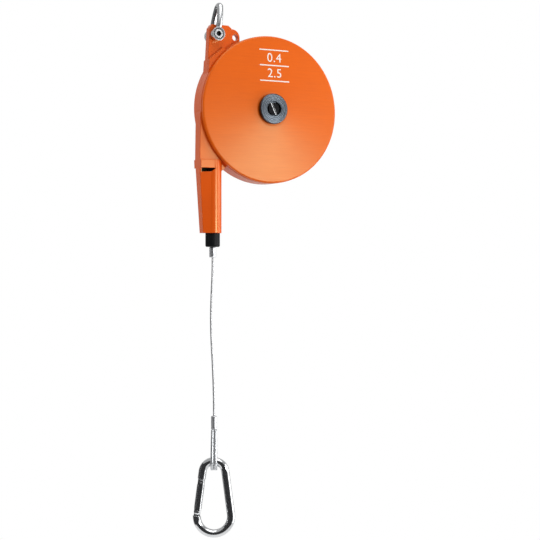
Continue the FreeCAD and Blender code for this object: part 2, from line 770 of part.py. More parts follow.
def make_collar():
    """The adjusting collar, keyed on the arbor's flats, and the screw that holds it."""
    body = new_body("adjuster_collar", **AT_DRUM)
    turn(body, [
        ("0", "-hub_face"),
        ("collar_radius", "-hub_face"),
        ("collar_radius", "collar_chamfer - collar_face"),
        ("collar_radius - collar_chamfer", "-collar_face"),
        ("collar_recess_radius + edge_chamfer", "-collar_face"),
        ("collar_recess_radius", "edge_chamfer - collar_face"),
        ("collar_recess_radius", "-recess_floor"),
        ("0", "-recess_floor"),
    ])
    flat = "(arbor_flat + running_gap)"
    bore = "(arbor_end_radius + running_gap)"
    rise = "sqrt(%s ^ 2 - %s ^ 2)" % (bore, flat)
    keyed = new_sketch(body, "XZ_Plane")
    draw(keyed, [
        (flat, "-" + rise, bore, 1),
        (flat, rise),
        ("-" + flat, rise, bore, 1),
        ("-" + flat, "-" + rise),
    ])
    pad(body, keyed, THROUGH, "Pocket")
    screw = new_body("lock_screw", **AT_DRUM)
    head = "recess_floor + lock_head_height"
    turn(screw, [
        ("0", "-(%s)" % head),
        ("lock_head_radius - edge_chamfer", "-(%s)" % head),
        ("lock_head_radius", "edge_chamfer - (%s)" % head),
        ("lock_head_radius", "-recess_floor"),
        ("lock_screw_radius", "-recess_floor"),
        ("lock_screw_radius", "lock_screw_length - recess_floor"),
        ("0", "lock_screw_length - recess_floor"),
    ])
    slot = new_sketch(screw, "XZ_Plane", head)
    draw(slot, [turned_point(u + "lock_slot / 2", v + "2 * lock_head_radius", "lock_slot_angle")
                for u, v in (("-", "-"), ("", "-"), ("", ""), ("-", ""))])
    cut = feature(screw, "Pocket", slot)
    bind(cut, "Length", "lock_slot_depth")


def turned_point(u, v, angle):
    """Return the expressions of a point turned anticlockwise about the origin."""
    cosine = "cos(%s * 1 deg)" % angle
    sine = "sin(%s * 1 deg)" % angle
    x = "(%s) * %s - (%s) * %s" % (u, cosine, v, sine)
    y = "(%s) * %s + (%s) * %s" % (u, sine, v, cosine)
    return x, y


def make_drum():
    """The grooved drum, its lid and its small screws."""
    body = new_body("rope_drum", **AT_DRUM)
    turn(body, [
        ("bush_radius", "-drum_boss_front"),
        ("drum_boss_radius", "-drum_boss_front"),
        ("drum_boss_radius", "-flange_face"),
        ("flange_radius", "-flange_face"),
        ("flange_radius", "-channel_half"),
        ("core_radius", "-channel_half"),
        ("core_radius", "channel_half"),
        ("flange_radius", "channel_half"),
        ("flange_radius", "flange_face"),
        ("chamber_radius", "flange_face"),
        ("chamber_radius", "-chamber_front"),
        ("bush_radius", "-chamber_front"),
    ])
    round_slab(body, "XY_Plane", "rope_pitch_radius", "0", "0", "anchor_radius + seat_gap",
               "rope_pitch_radius - chamber_radius + drum_wall", "Pocket")
    places = round_places("lid_screw_circle", LID_SCREW_COUNT, LID_SCREW_START)
    round_group(body, "-flange_face", places, "lid_screw_radius + seat_gap", "lid_screw_length",
                "Pocket", back=True)
    lid = new_body("spring_lid", **AT_DRUM)
    turn(lid, [
        ("bush_radius", "flange_face"),
        ("lid_radius", "flange_face"),
        ("lid_radius", "lid_face"),
        ("drum_boss_radius", "lid_face"),
        ("drum_boss_radius", "drum_boss_rear"),
        ("bush_radius", "drum_boss_rear"),
    ])
    round_group(lid, "-lid_face", places, "lid_screw_radius + seat_gap", "2 * lid_thickness",
                "Pocket", back=True)
    anchor = new_body("rope_anchor", **AT_DRUM)
    round_slab(anchor, "XY_Plane", "chamber_radius", "0", "0", "anchor_radius",
               "core_radius - chamber_radius - winding_gap")


def screw_group(name, places, shank_radius, head_radius, head_face, head_height, length):
    """Equal screws round the drum's axis, their heads towards the rear."""
    screws = []
    for x, z in places:
        centre = FreeCAD.Vector(size(x), size(head_face), size(z))
        head = Part.makeCylinder(size(head_radius), size(head_height), centre, ACROSS)
        shank = Part.makeCylinder(size(shank_radius), size(length), centre, -ACROSS)
        screws.append(head.fuse(shank).removeSplitter())
    return solid_feature(name, Part.makeCompound(screws), **AT_DRUM)


def make_screws():
    """The cover's screws and the spring lid's screws."""
    screw_group("cover_screws", round_places("screw_circle", SCREW_COUNT, SCREW_START),
                "screw_radius", "screw_head_radius", "case_rear - screw_head_height",
                "screw_head_height", "case_rear - screw_head_height + cover_face - 2 * rim_bevel")
    screw_group("lid_screws", round_places("lid_screw_circle", LID_SCREW_COUNT, LID_SCREW_START),
                "lid_screw_radius", "lid_screw_head", "lid_face", "lid_screw_height",
                "lid_screw_length")


def make_windings():
    """The rope wound on the drum: one closed ring with a hump for each turn."""
    body = new_body("rope_windings", **AT_DRUM)
    half = "winding_turns * winding_pitch / 2"
    points = [
        ("rope_pitch_radius", "-" + half),
        ("rope_pitch_radius - rope_radius", "-" + half),
        ("rope_pitch_radius - rope_radius", half),
        ("rope_pitch_radius", half),
    ]
    turns = round(size("winding_turns"))
    for step in range(1, turns):
        points.append(("rope_pitch_radius", "%s - %s * winding_pitch" % (half, step),
                       "winding_pitch / 2 + seat_gap", -1))
    points[0] = points[0] + ("winding_pitch / 2 + seat_gap", -1)
    turn(body, points)


def half_circles(radius, growth, count):
    """Return half circles end to end: each one's radius is larger by the growth."""
    edges = []
    for step in range(count):
        middle = growth * (step % 2)
        side = 1 - 2 * (step % 2)
        reach = (radius + growth * step) * side
        edges.append(Part.Arc(
            FreeCAD.Vector(middle + reach, 0, 0),
            FreeCAD.Vector(middle, 0, reach),
            FreeCAD.Vector(middle - reach, 0, 0),
        ).toShape())
    return edges


def make_main_spring():
    """The flat spiral spring, from the arbor's seat out to the drum's wall."""
    half = size("spring_strip") / 2
    inner = size("spring_seat_radius + seat_gap") + half
    outer = size("chamber_radius - seat_gap") - half
    count = round(2 * size("spring_turns"))
    growth = (outer - inner) / count
    near = half_circles(inner - half, growth, count)
    far = half_circles(inner + half, growth, count)
    starts = Part.makeLine(near[0].Vertexes[0].Point, far[0].Vertexes[0].Point)
    ends = Part.makeLine(near[-1].Vertexes[-1].Point, far[-1].Vertexes[-1].Point)
    strip = Part.Face(Part.Wire(Part.__sortEdges__(near + far + [starts, ends])))
    low = size("spring_side_gap - chamber_front")
    width = size("flange_face - spring_side_gap") - low
    strip.translate(ACROSS * low)
    solid_feature("main_spring", strip.extrude(ACROSS * width), **AT_DRUM)


def rod(name, radius, low, high, **where):
    """A plain upright cylinder between two heights."""
    thing = doc.addObject("Part::Cylinder", name)
    thing.Label = name
    bind(thing, "Radius", radius)
    bind(thing, "Height", "%s - (%s)" % (high, low))
    place(thing, z=low, **where)
    return thing


def make_rope_outlet():
    """The rope's way down: lead, guide, buffer and stop ferrule."""
    rod("rope_lead", "rope_radius", "stop_top_z", "drum_z - lead_start", **AT_ROPE)
    guide = new_body("rope_guide", **AT_ROPE)
    guide_low = "nozzle_z + buffer_shank + axial_gap"
    turn(guide, [
        ("guide_bore", guide_low),
        ("guide_radius", guide_low),
        ("guide_radius", "guide_top_z"),
        ("guide_bore + rope_radius", "guide_top_z"),
        ("guide_bore", "guide_top_z - 2 * rope_radius"),
    ], "XZ_Plane")
    buffer = new_body("rope_buffer", **AT_ROPE)
    turn(buffer, [
        ("buffer_bore", "buffer_z"),
        ("buffer_radius - buffer_round", "buffer_z"),
        ("buffer_radius", "buffer_z + buffer_round", "buffer_round", 1),
        ("buffer_radius", "nozzle_z"),
        ("guide_radius", "nozzle_z"),
        ("guide_radius", "nozzle_z + buffer_shank"),
        ("buffer_bore", "nozzle_z + buffer_shank"),
    ], "XZ_Plane")
    sleeve("stop_ferrule", "stop_radius", "stop_z", "stop_top_z", **AT_ROPE)
    sleeve("eye_ferrule", "eye_ferrule_radius", "eye_top_z", "hang_z", x="hang_x")


def sleeve(name, radius, low, high, **where):
    """A crimped sleeve: a bevelled upright cylinder."""
    body = new_body(name, **where)
    turn(body, [
        ("0", low),
        (radius + " - stop_bevel", low),
        (radius, low + " + stop_bevel"),
        (radius, high + " - stop_bevel"),
        (radius + " - stop_bevel", high),
        ("0", high),
    ], "XZ_Plane")


def make_free_rope():
    """The free rope: straight runs joined by arcs tangent to both, each as large as fits."""
    side, drop = size("hang_side"), -size("hang_drop")
    route = ROPE_ROUTE + [(side, drop + size("hang_last_run")), (side, drop)]
    spots = [FreeCAD.Vector(side, 0, drop) for side, drop in route]
    edges = []
    at = spots[0]
    radii = []
    for before, corner, after in zip(spots, spots[1:], spots[2:]):
        arrive, leave = corner - before, after - corner
        bend = arrive.getAngle(leave)
        reach = BEND_SHARE * min(arrive.Length, leave.Length)
        radius = reach / math.tan(bend / 2)
        radii.append(radius)
        start = corner - arrive.normalize() * reach
        end = corner + leave.normalize() * reach
        inward = (start + end) * 0.5 - corner
        middle = corner + inward.normalize() * (radius / math.cos(bend / 2) - radius)
        edges.append(Part.LineSegment(at, start).toShape())
        edges.append(Part.Arc(start, middle, end).toShape())
        at = end
    edges.append(Part.LineSegment(at, spots[-1]).toShape())
    path = Part.Wire(edges)
    first = spots[1] - spots[0]
    section = Part.Wire(Part.makeCircle(size("rope_radius"), spots[0], first))
    shape = path.makePipeShell([section], True, False)
    expected = math.pi * size("rope_radius") ** 2 * path.Length
    print("free rope: length %.1f, least radius %.0f, volume / expected %.4f"
          % (path.Length, min(radii), shape.Volume / expected))
    solid_feature("free_rope", shape, x="rope_x", z="stop_z")


def half_eye(name, outline, end):
    """Sweep a section round half of the eye from its lowest point, then mirror it."""
    body = new_body(name, **AT_EYE)
    section = new_sketch(body, "XZ_Plane")
    outline(section)
    line = new_sketch(body, "YZ_Plane")
    draw(line, [
        ("0", "-eye_centre - eye_path_radius"),
        ("strand_y", "strand_z", "eye_path_radius", 1),
        end,
    ], closed=False)
    half = feature(body, "AdditivePipe", section)
    half.Spine = (line, [])
    mirror = body.newObject("PartDesign::Mirrored", name + "_mirrored")
    mirror.Originals = [half]
    planes = [item for item in body.Origin.OriginFeatures if item.Role == "XZ_Plane"]
    mirror.MirrorPlane = (planes[0], [""])
    body.Tip = mirror
    return body


def make_eye():
    """The rope's eye and the grooved thimble inside it."""
    loop = half_eye("eye_loop", lambda sketch: draw_circle(
        sketch, "0", "-eye_centre - eye_path_radius", "rope_radius"), ("strand_half", "0"))
    round_slab(loop, "XY_Plane", "0", "0", "0", "eye_length", "rope_radius", "Pocket", back=True)
    inner = "-eye_centre - eye_inner_radius"
    lip, floor = inner + " - eye_depth", inner + " - thimble_wall + seat_gap"
    wide, narrow = "thimble_width / 2", "(thimble_width / 2 - thimble_side)"
    share = "(-thimble_start / strand_z)"
    thimble = half_eye("thimble", lambda sketch: draw(sketch, [
        ("-" + wide, inner),
        ("-" + wide, lip),
        ("-" + narrow, lip),
        ("-" + narrow, floor),
        (narrow, floor),
        (narrow, lip),
        (wide, lip),
        (wide, inner),
    ]), ("strand_half + (strand_y - strand_half) * " + share, "-thimble_start"))
    leg = "(strand_half + (strand_y - strand_half) * %s + thimble_lip - rope_radius)" % share
    for lift, back in (("thimble_width / 2 - thimble_side", False),
                       ("thimble_side - thimble_width / 2", True)):
        cheek = new_sketch(thimble, "YZ_Plane", lift)
        draw(cheek, [
            ("-thimble_throat", "-seat_gap"),
            ("-" + leg, "-thimble_start - thimble_lip"),
            (leg, "-thimble_start - thimble_lip"),
            ("thimble_throat", "-seat_gap"),
        ])
        made = feature(thimble, "Pad", cheek)
        bind(made, "Length", "thimble_side")
        made.Reversed = back


def limb(along, out):
    """Return a point beside the hook's gate limb: distance down it, and outwards from it."""
    cosine, sine = "cos(limb_tilt)", "sin(limb_tilt)"
    x = "-hook_top_radius * %s - (%s) * %s - (%s) * %s" % (cosine, along, sine, out, cosine)
    z = "hook_top_radius * (%s - 1) - (%s) * %s + (%s) * %s" % (sine, along, cosine, out, sine)
    return x, z


def make_hook():
    """The pear-shaped snap hook: a closed bar with the gate's gap cut and two tongues added."""
    body = new_body("carabiner_body", **AT_HOOK)
    top = ("hook_top_radius * cos(limb_tilt)", "hook_top_radius * (sin(limb_tilt) - 1)")
    low = ("hook_bar_radius * cos(limb_tilt)",
           "hook_bar_radius * (sin(limb_tilt) + 1) - hook_height")
    sweep(body, "YZ_Plane", "0", "0", "hook_wire / 2", "XZ_Plane", [
        ("0", "0", "hook_top_radius", -1),
        top + ("hook_top_radius", -1),
        low,
        ("0", "-hook_height", "hook_bar_radius", -1),
        ("-" + low[0], low[1], "hook_bar_radius", -1),
        ("-" + top[0], top[1]),
    ], closed=True)
    plate(body, [
        limb("nose_start", "-hook_wire"),
        limb("nose_start", "hook_wire"),
        limb("limb_end", "hook_wire"),
        limb("limb_end", "-hook_wire"),
    ], "2 * hook_wire", "Pocket")
    plate(body, [
        limb("nose_start - tongue_root", "-tongue_half"),
        limb("nose_start - tongue_root", "tongue_half"),
        limb("nose_end", "tongue_half"),
        limb("nose_end", "-tongue_half"),
    ], "tongue_thickness")
    notch = "(rivet_radius + latch_gap)"
    plate(body, [
        limb("latch_place - " + notch, "-hook_wire"),
        limb("latch_place - " + notch, notch),
        limb("latch_place + " + notch, notch),
        limb("latch_place + " + notch, "-hook_wire"),
    ], "2 * tongue_thickness", "Pocket")
    plate(body, [
        limb("limb_end + tongue_root", "-tongue_thickness"),
        limb("hinge_at", "-tongue_thickness"),
        limb("hinge_at - tongue_thickness", "0") + ("tongue_thickness", 1),
        limb("hinge_at", "tongue_thickness") + ("tongue_thickness", 1),
        limb("limb_end + tongue_root", "tongue_thickness"),
    ], "tongue_thickness")
    x, z = limb("hinge_at", "0")
    cross_hole(body, x, z, "rivet_radius + seat_gap", "2 * hook_wire")


def make_gate():
    """The gate: a bar forked at both ends, with its rivet, latch pin, spring and plunger."""
    body = new_body("carabiner_gate", **AT_HOOK)
    outline = new_sketch(body, "XZ_Plane")
    draw(outline, [
        limb("gate_start", "0"),
        limb("hinge_at + gate_wire / 2", "0"),
        limb("hinge_at", "gate_wire / 2") + ("gate_wire / 2", -1),
        limb("gate_start", "gate_wire / 2"),
    ])
    bar = feature(body, "Revolution", outline)
    bar.ReferenceAxis = (outline, ["Edge1"])
    bar.Angle = 360
    slot = "tongue_thickness + 2 * tongue_gap"
    for first, last in (("nose_start - tongue_root", "nose_end + 2 * tongue_gap"),
                        ("slot_start", "limb_end + tongue_root")):
        plate(body, [
            limb(first, "-hook_wire"),
            limb(first, "hook_wire"),
            limb(last, "hook_wire"),
            limb(last, "-hook_wire"),
        ], slot, "Pocket")
    hinge, latch = limb("hinge_at", "0"), limb("latch_place", "0")
    cross_hole(body, hinge[0], hinge[1], "rivet_radius + running_gap", "2 * hook_wire")
    cross_hole(body, latch[0], latch[1], "rivet_radius + seat_gap", "2 * hook_wire")
    bore = new_sketch(body, "XZ_Plane")
    draw(bore, [
        limb("slot_start - gate_bore_depth", "0"),
        limb("hinge_at", "0"),
        limb("hinge_at", "gate_bore"),
        limb("slot_start - gate_bore_depth", "gate_bore"),
    ])
    drilled = feature(body, "Groove", bore)
    drilled.ReferenceAxis = (bore, ["Edge1"])
    drilled.Angle = 360
    for name, (x, z) in (("gate_rivet", hinge), ("latch_pin", latch)):
        rivet = new_body(name, **AT_HOOK)
        cross_sketch = new_sketch(rivet, "XZ_Plane")
        draw_circle(cross_sketch, x, z, "rivet_radius")
        pad(rivet, cross_sketch, "gate_wire")
    plunger = new_body("gate_plunger", **AT_HOOK)
    stem = new_sketch(plunger, "XZ_Plane")
    draw(stem, [
        limb("slot_start - plunger_length", "0"),
        limb("plunger_tip", "0"),
        limb("plunger_tip", "gate_bore - seat_gap"),
        limb("slot_start - plunger_length", "gate_bore - seat_gap"),
    ])
    pushed = feature(plunger, "Revolution", stem)
    pushed.ReferenceAxis = (stem, ["Edge1"])
    pushed.Angle = 360


def make_gate_spring():
    """The small coil spring of square wire between the gate's bore and its plunger."""
    half = size("gate_spring_wire") / 2
    coil = size("gate_bore - 2 * seat_gap") - half
    length = size("gate_bore_depth - plunger_length - 2 * seat_gap") - 2 * half
    helix = Part.makeHelix(length / size("gate_spring_turns"), length, coil)
    corners = [(-half, -half), (half, -half), (half, half), (-half, half), (-half, -half)]
    section = Part.makePolygon([FreeCAD.Vector(coil + out, 0, up) for out, up in corners])
    spring = Part.Wire(helix).makePipeShell([section], True, True)
    x, z = limb("slot_start - plunger_length - gate_spring_wire / 2 - seat_gap", "0")
    tilt = FreeCAD.Rotation(ACROSS, size("limb_tilt"))
    spring.Placement = FreeCAD.Placement(FreeCAD.Vector(size(x), 0, size(z)), tilt)
    solid_feature("gate_spring", Part.makeCompound([spring]), **AT_HOOK)


def make_shackle():
    """The forged bow with its eyes, and the pin through them and the lug."""
    where = {"x": "pin_x", "z": "pin_z", "axis": ACROSS, "angle": "bow_lean"}
    body = new_body("shackle_bow", **where)
    sweep(body, "XY_Plane", "0", "eye_y", "bow_bar / 2", "YZ_Plane", [
        ("eye_y", "0"),
        ("eye_y", "bow_leg"),
        ("bow_join_y", "bow_join_z", "bow_side_radius", 1),
        ("0", "crown_z + bow_crown_radius", "bow_crown_radius", 1),
        ("-bow_join_y", "bow_join_z", "bow_crown_radius", 1),
        ("-eye_y", "bow_leg", "bow_side_radius", 1),
        ("-eye_y", "0"),
    ])
    for lift, back in (("jaw_half", False), ("-jaw_half", True)):
        round_slab(body, "XZ_Plane", lift, "0", "0", "shackle_eye_radius", "shackle_eye_thickness",
                   back=back)
    cross_hole(body, "0", "0", "pin_radius + seat_gap", "4 * eye_face")
    round_slab(body, "XZ_Plane", "eye_face", "0", "0", "pin_head_radius + seat_gap",
               "pin_head_height", "Pocket")
    pin = new_body("shackle_pin", **where)
    turn(pin, [
        ("0", "-eye_face"),
        ("pin_head_radius", "-eye_face"),
        ("pin_head_radius", "pin_head_height - eye_face"),
        ("pin_radius", "pin_head_height - eye_face"),
        ("pin_radius", "eye_face"),
        ("0", "eye_face"),
    ])
    socket = new_sketch(pin, "XZ_Plane", "eye_face")
    corner = "pin_socket / sqrt(3)"
    draw(socket, [("%s * cos(%d deg)" % (corner, angle), "%s * sin(%d deg)" % (corner, angle))
                  for angle in range(SOCKET_START, SOCKET_START + 360, 360 // SOCKET_SIDES)])
    cut = feature(pin, "Pocket", socket)
    bind(cut, "Length", "pin_socket_depth")


def write_parts():
    """Check every object, then write one file for each sub-part."""
    for thing in doc.Objects:
        if "Invalid" in thing.State or "Error" in thing.State:
            raise RuntimeError("%s failed: %s" % (thing.Name, thing.State))
    kinds = ("PartDesign::Body", "Part::Cylinder", "Part::Feature")
    parts = [thing for thing in doc.Objects if thing.TypeId in kinds]
    for thing in parts:
        if thing.Shape.isNull() or not thing.Shape.isValid() or thing.Shape.Volume <= 0:
            raise RuntimeError("%s has no valid shape" % thing.Label)
    os.makedirs("parts", exist_ok=True)
    for thing in parts:
        thing.Shape.exportStep(os.path.join("parts", thing.Label + ".step"))
    print("%d parts written" % len(parts))


fill_sheet()
make_housing()
make_front_cover()
make_bearings()
make_arbor()
make_collar()
make_drum()
make_screws()
make_windings()
make_main_spring()
make_rope_outlet()
make_free_rope()
make_eye()
make_hook()
make_gate()
make_gate_spring()
make_shackle()
doc.recompute()
write_parts()
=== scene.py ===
import logging
import math
from dataclasses import dataclass
from enum import Enum
from typing import Sequence, Union

import bpy
import numpy as np
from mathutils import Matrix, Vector


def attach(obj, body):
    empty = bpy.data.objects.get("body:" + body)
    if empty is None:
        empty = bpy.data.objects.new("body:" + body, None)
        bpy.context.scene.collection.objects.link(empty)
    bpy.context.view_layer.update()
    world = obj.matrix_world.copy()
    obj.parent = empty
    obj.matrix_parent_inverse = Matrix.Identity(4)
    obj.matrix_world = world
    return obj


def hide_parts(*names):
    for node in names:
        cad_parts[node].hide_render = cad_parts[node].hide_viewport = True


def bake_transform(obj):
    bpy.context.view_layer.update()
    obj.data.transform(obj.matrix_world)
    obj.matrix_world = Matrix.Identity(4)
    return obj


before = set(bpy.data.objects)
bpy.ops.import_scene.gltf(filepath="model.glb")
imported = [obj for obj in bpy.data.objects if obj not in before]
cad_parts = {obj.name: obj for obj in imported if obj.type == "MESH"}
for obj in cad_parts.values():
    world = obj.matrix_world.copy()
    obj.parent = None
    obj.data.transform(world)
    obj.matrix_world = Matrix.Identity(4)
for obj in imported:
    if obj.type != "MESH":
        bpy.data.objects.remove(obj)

# The looks of a spring balancer: an enamelled die-cast drum housing with a turned adjusting
# collar, a plated shackle above, and a stranded wire rope with a snap hook below.
# Metres, +Z up, the cover faces -Y, and the origin is inside the top of the shackle's bow.

LOG = logging.getLogger("balancer")
Number = Union[float, "Signal"]
Colour = tuple[float, float, float]
Place = tuple[float, float, float]
Span = tuple[float, float]
WHITE = (1.0, 1.0, 1.0, 1.0)
RAISED = np.array([0.0, 0.0, 1.0])
STRANDS = 6
RING_GAP = 0.0005
RING_POINTS = 42
LEAST_RINGS = 8


# ---------------------------------------------------------------- shader maths


class Step(Enum):
    """The steps of shader maths, by the Math node's own words."""

    ADD = "ADD"
    SUBTRACT = "SUBTRACT"
    MULTIPLY = "MULTIPLY"
    DIVIDE = "DIVIDE"
    SINE = "SINE"
    SQUARE_ROOT = "SQRT"


class Owner(Enum):
    """What a node sheet belongs to, by the name of its store in bpy.data."""

    MATERIAL = "materials"
    WORLD = "worlds"


class Signal:
    """One shader socket that takes part in Python arithmetic as a plain number does."""

    def __init__(self, sheet: "NodeSheet", socket: bpy.types.NodeSocket | None) -> None:
        """Wrap a socket of a node sheet.

        Args:
            sheet: The sheet that new maths nodes go on.
            socket: The output socket that carries the value, or None after a last node.
        """
        self.sheet = sheet
        self.socket = socket

    def _maths(self, step: Step, first: Number, second: Number = 0.0) -> "Signal":
        """Add one Math node.

        Args:
            step: What the node works out.
            first: Its first value.
            second: Its second value.

        Returns:
            The node's result.
        """
        settings = {"operation": step.value}
        return self.sheet.node("ShaderNodeMath", settings, {0: first, 1: second})

    def __add__(self, other: Number) -> "Signal":
        """Sum."""
        return self._maths(Step.ADD, self, other)

    __radd__ = __add__

    def __sub__(self, other: Number) -> "Signal":
        """Difference."""
        return self._maths(Step.SUBTRACT, self, other)

    def __rsub__(self, other: Number) -> "Signal":
        """Difference from a number."""
        return self._maths(Step.SUBTRACT, other, self)

    def __mul__(self, other: Number) -> "Signal":
        """Product."""
        return self._maths(Step.MULTIPLY, self, other)

    __rmul__ = __mul__

    def __truediv__(self, other: Number) -> "Signal":
        """Quotient."""
        return self._maths(Step.DIVIDE, self, other)

    def wave(self) -> "Signal":
        """Sine of an angle in radians, halved and raised to lie between 0 and 1."""
        return self._maths(Step.SINE, self) * 0.5 + 0.5

    def root(self) -> "Signal":
        """Square root."""
        return self._maths(Step.SQUARE_ROOT, self)

    def stretched(self, low: float, high: float) -> "Signal":
        """Spread low to high over 0 to 1, and hold it there.

        Args:
            low: The value that becomes 0.
            high: The value that becomes 1.

        Returns:
            The spread value, held between 0 and 1.
        """
        spread = (self - low) / (high - low)
        spread.socket.node.use_clamp = True
        return spread

    def within(self, limits: Span, blur: float) -> "Signal":
        """Mark the values between two limits.

        Args:
            limits: The lower and the upper limit.
            blur: How far outside a limit the mark has faded out.

        Returns:
            1 between the limits and 0 past the blur.
        """
        low, high = limits
        return self.stretched(low - blur, low) * self.stretched(high + blur, high)


@dataclass(frozen=True)
class Mottle:
    """Soft noise: roughly its spots per metre, its finer layers, its stretch on each axis."""

    scale: float
    detail: float = 2.0
    stretch: Place = (1.0, 1.0, 1.0)


class NodeSheet:
    """The node tree of one material or world, with one method that makes every node."""

    def __init__(self, name: str, owner: Owner = Owner.MATERIAL) -> None:
        """Start an empty material or world.

        Args:
            name: Its name.
            owner: Which of the two it is.
        """
        self.owner = getattr(bpy.data, owner.value).new(name)
        self.owner.use_nodes = True
        self.tree = self.owner.node_tree
        self.tree.nodes.clear()

    def node(
        self,
        kind: str,
        settings: dict[str, object] | None = None,
        values: dict[int | str, object] | None = None,
        output: int | str = 0,
    ) -> Signal:
        """Make a node, set it up, then give its sockets their values or links.

        Args:
            kind: The node's type.
            settings: Properties that are set first.
            values: A value or a Signal for each socket, by name or number.
            output: The output socket that is wanted.

        Returns:
            The wanted output, or an empty Signal for a node without outputs.
        """
        made = self.tree.nodes.new(kind)
        for key, value in (settings or {}).items():
            setattr(made, key, value)
        for key, value in (values or {}).items():
            if isinstance(value, Signal):
                self.tree.links.new(value.socket, made.inputs[key])
            else:
                made.inputs[key].default_value = value
        return Signal(self, made.outputs[output] if made.outputs else None)

    def place(self) -> Signal:
        """The point on the piece, in metres."""
        return self.node("ShaderNodeTexCoord", output="Object")

    def split(self, vector: Signal) -> tuple[Signal, ...]:
        """The x, y and z of a vector."""
        apart = self.node("ShaderNodeSeparateXYZ", None, {0: vector}).socket.node
        return tuple(Signal(self, output) for output in apart.outputs)

    def offsets(self, centre: Span) -> tuple[Signal, Signal]:
        """The point's distances along X and along Z from an axis along Y."""
        x, _, z = self.split(self.place())
        return x - centre[0], z - centre[1]

    def radius(self, centre: Span) -> Signal:
        """The point's distance from an axis along Y: the root of its offsets' squares."""
        across, up = self.offsets(centre)
        return (across * across + up * up).root()

    def mottle(self, mottle: Mottle) -> Signal:
        """Lay soft noise over the piece.

        Args:
            mottle: Its scale, layers and stretch.

        Returns:
            Noise from 0 to 1.
        """
        values = {"Vector": self.place(), "Scale": mottle.stretch}
        place = self.node("ShaderNodeMapping", None, values)
        values = {"Vector": place, "Scale": mottle.scale, "Detail": mottle.detail}
        return self.node("ShaderNodeTexNoise", None, values)

    def blend(self, share: Number, first: Colour | Signal, second: Colour | Signal) -> Signal:
        """Mix two colours.

        Args:
            share: How much of the second colour.
            first: The first colour, or a Signal.
            second: The second colour, or a Signal.

        Returns:
            The mixed colour.
        """
        settings = {"data_type": "RGBA", "clamp_factor": True}
        full = [value if isinstance(value, Signal) else (*value, 1.0) for value in (first, second)]
        return self.node("ShaderNodeMix", settings, {0: share, 6: full[0], 7: full[1]}, 2)

    def toned(
        self, tone: Signal, span: Span, share: float, first: Colour, second: Colour
    ) -> Signal:
        """Mix two colours by how far a tone lies within a span.

        Args:
            tone: The tone.
            span: Where the second colour sets in, and where it is at its strongest.
            share: The most that shows of the second colour.
            first: The first colour.
            second: The second colour.

        Returns:
            The mixed colour.
        """
        return self.blend(tone.stretched(*span) * share, first, second)

    def relief(self, height: Signal, depth: float, edge: float = 0.0) -> Signal:
        """Turn a height into a normal, over edges that are softened first.

        Args:
            height: The height, from 0 to 1.
            depth: What 1 stands for, in metres.
            edge: The radius that sharp edges are softened to, in metres.

        Returns:
            The normal.
        """
        values = {"Height": height, "Distance": depth, "Strength": 1.0}
        if edge > 0.0:
            values["Normal"] = self.node("ShaderNodeBevel", {"samples": 6}, {"Radius": edge})
        return self.node("ShaderNodeBump", None, values)

    def finish(self, **sockets: object) -> bpy.types.Material:
        """Close the material with a Principled shader.

        Args:
            **sockets: Values or Signals, with spaces in socket names written as underscores.

        Returns:
            The finished material.
        """
        values = {name.replace("_", " "): value for name, value in sockets.items()}
        shader = self.node("ShaderNodeBsdfPrincipled", None, values)
        self.node("ShaderNodeOutputMaterial", None, {"Surface": shader})
        return self.owner


# -------------------------------------------------------------------- finishes
# In each finish, a span and a share say where in its noise the second colour sets in, where
# it is at its strongest and the most that shows of it; a dull is what noise adds to the
# roughness; depth is the height of the relief, and edge the radius of softened edges.


@dataclass(frozen=True)
class Enamel:
    """Stoved enamel on a die casting: one deep colour, a slight orange peel, soft edges.

    Inside the slot above the nozzle the enamel is painted near-black, as painted shade for the deep
    recess; slot_x, slot_y and slot_z are the limits of this painted shade.
    """

    slot_x: Span = (-0.0178, -0.0070)
    slot_y: Span = (-0.0050, 0.0009)
    slot_z: Span = (-0.16125, -0.15730)
    slot_blur: float = 0.0001
    slot_painted_shade: Colour = (0.004, 0.004, 0.004)
    slot_dull: float = 0.7
    colour: Colour = (0.75, 0.092, 0.003)
    deep: Colour = (0.60, 0.062, 0.003)
    cloud: Mottle = Mottle(28.0, 3.0)
    span: Span = (0.35, 0.75)
    share: float = 0.35
    roughness: float = 0.24
    cloud_dull: float = 0.12
    gloss: float = 0.62
    sheen: Colour = (0.90, 1.0, 0.50)
    fine_peel: Mottle = Mottle(900.0)
    fine_share: float = 0.7
    coarse_peel: Mottle = Mottle(260.0)
    coarse_share: float = 0.6
    depth: float = 0.000012
    edge: float = 0.0008

    def material(self) -> bpy.types.Material:
        """Build the finish; the mask of the slot's painted shade is the product of one mask along
        each axis.

        Returns:
            The material.
        """
        sheet = NodeSheet("orange_enamel")
        cloud = sheet.mottle(self.cloud)
        painted = sheet.toned(cloud, self.span, self.share, self.colour, self.deep)
        x, y, z = sheet.split(sheet.place())
        blur = self.slot_blur
        # Painted shade: inside these limits the enamel turns near-black for the slot's dark recess.
        slot = x.within(self.slot_x, blur) * y.within(self.slot_y, blur)
        slot = slot * z.within(self.slot_z, blur)
        peel = sheet.mottle(self.fine_peel) * self.fine_share
        peel = peel + sheet.mottle(self.coarse_peel) * self.coarse_share
        return sheet.finish(
            Base_Color=sheet.blend(slot, painted, self.slot_painted_shade),
            Roughness=self.roughness + (cloud - 0.5) * self.cloud_dull + slot * self.slot_dull,
            Specular_IOR_Level=self.gloss,
            Specular_Tint=(*self.sheen, 1.0),
            Normal=sheet.relief(peel, self.depth, self.edge),
        )


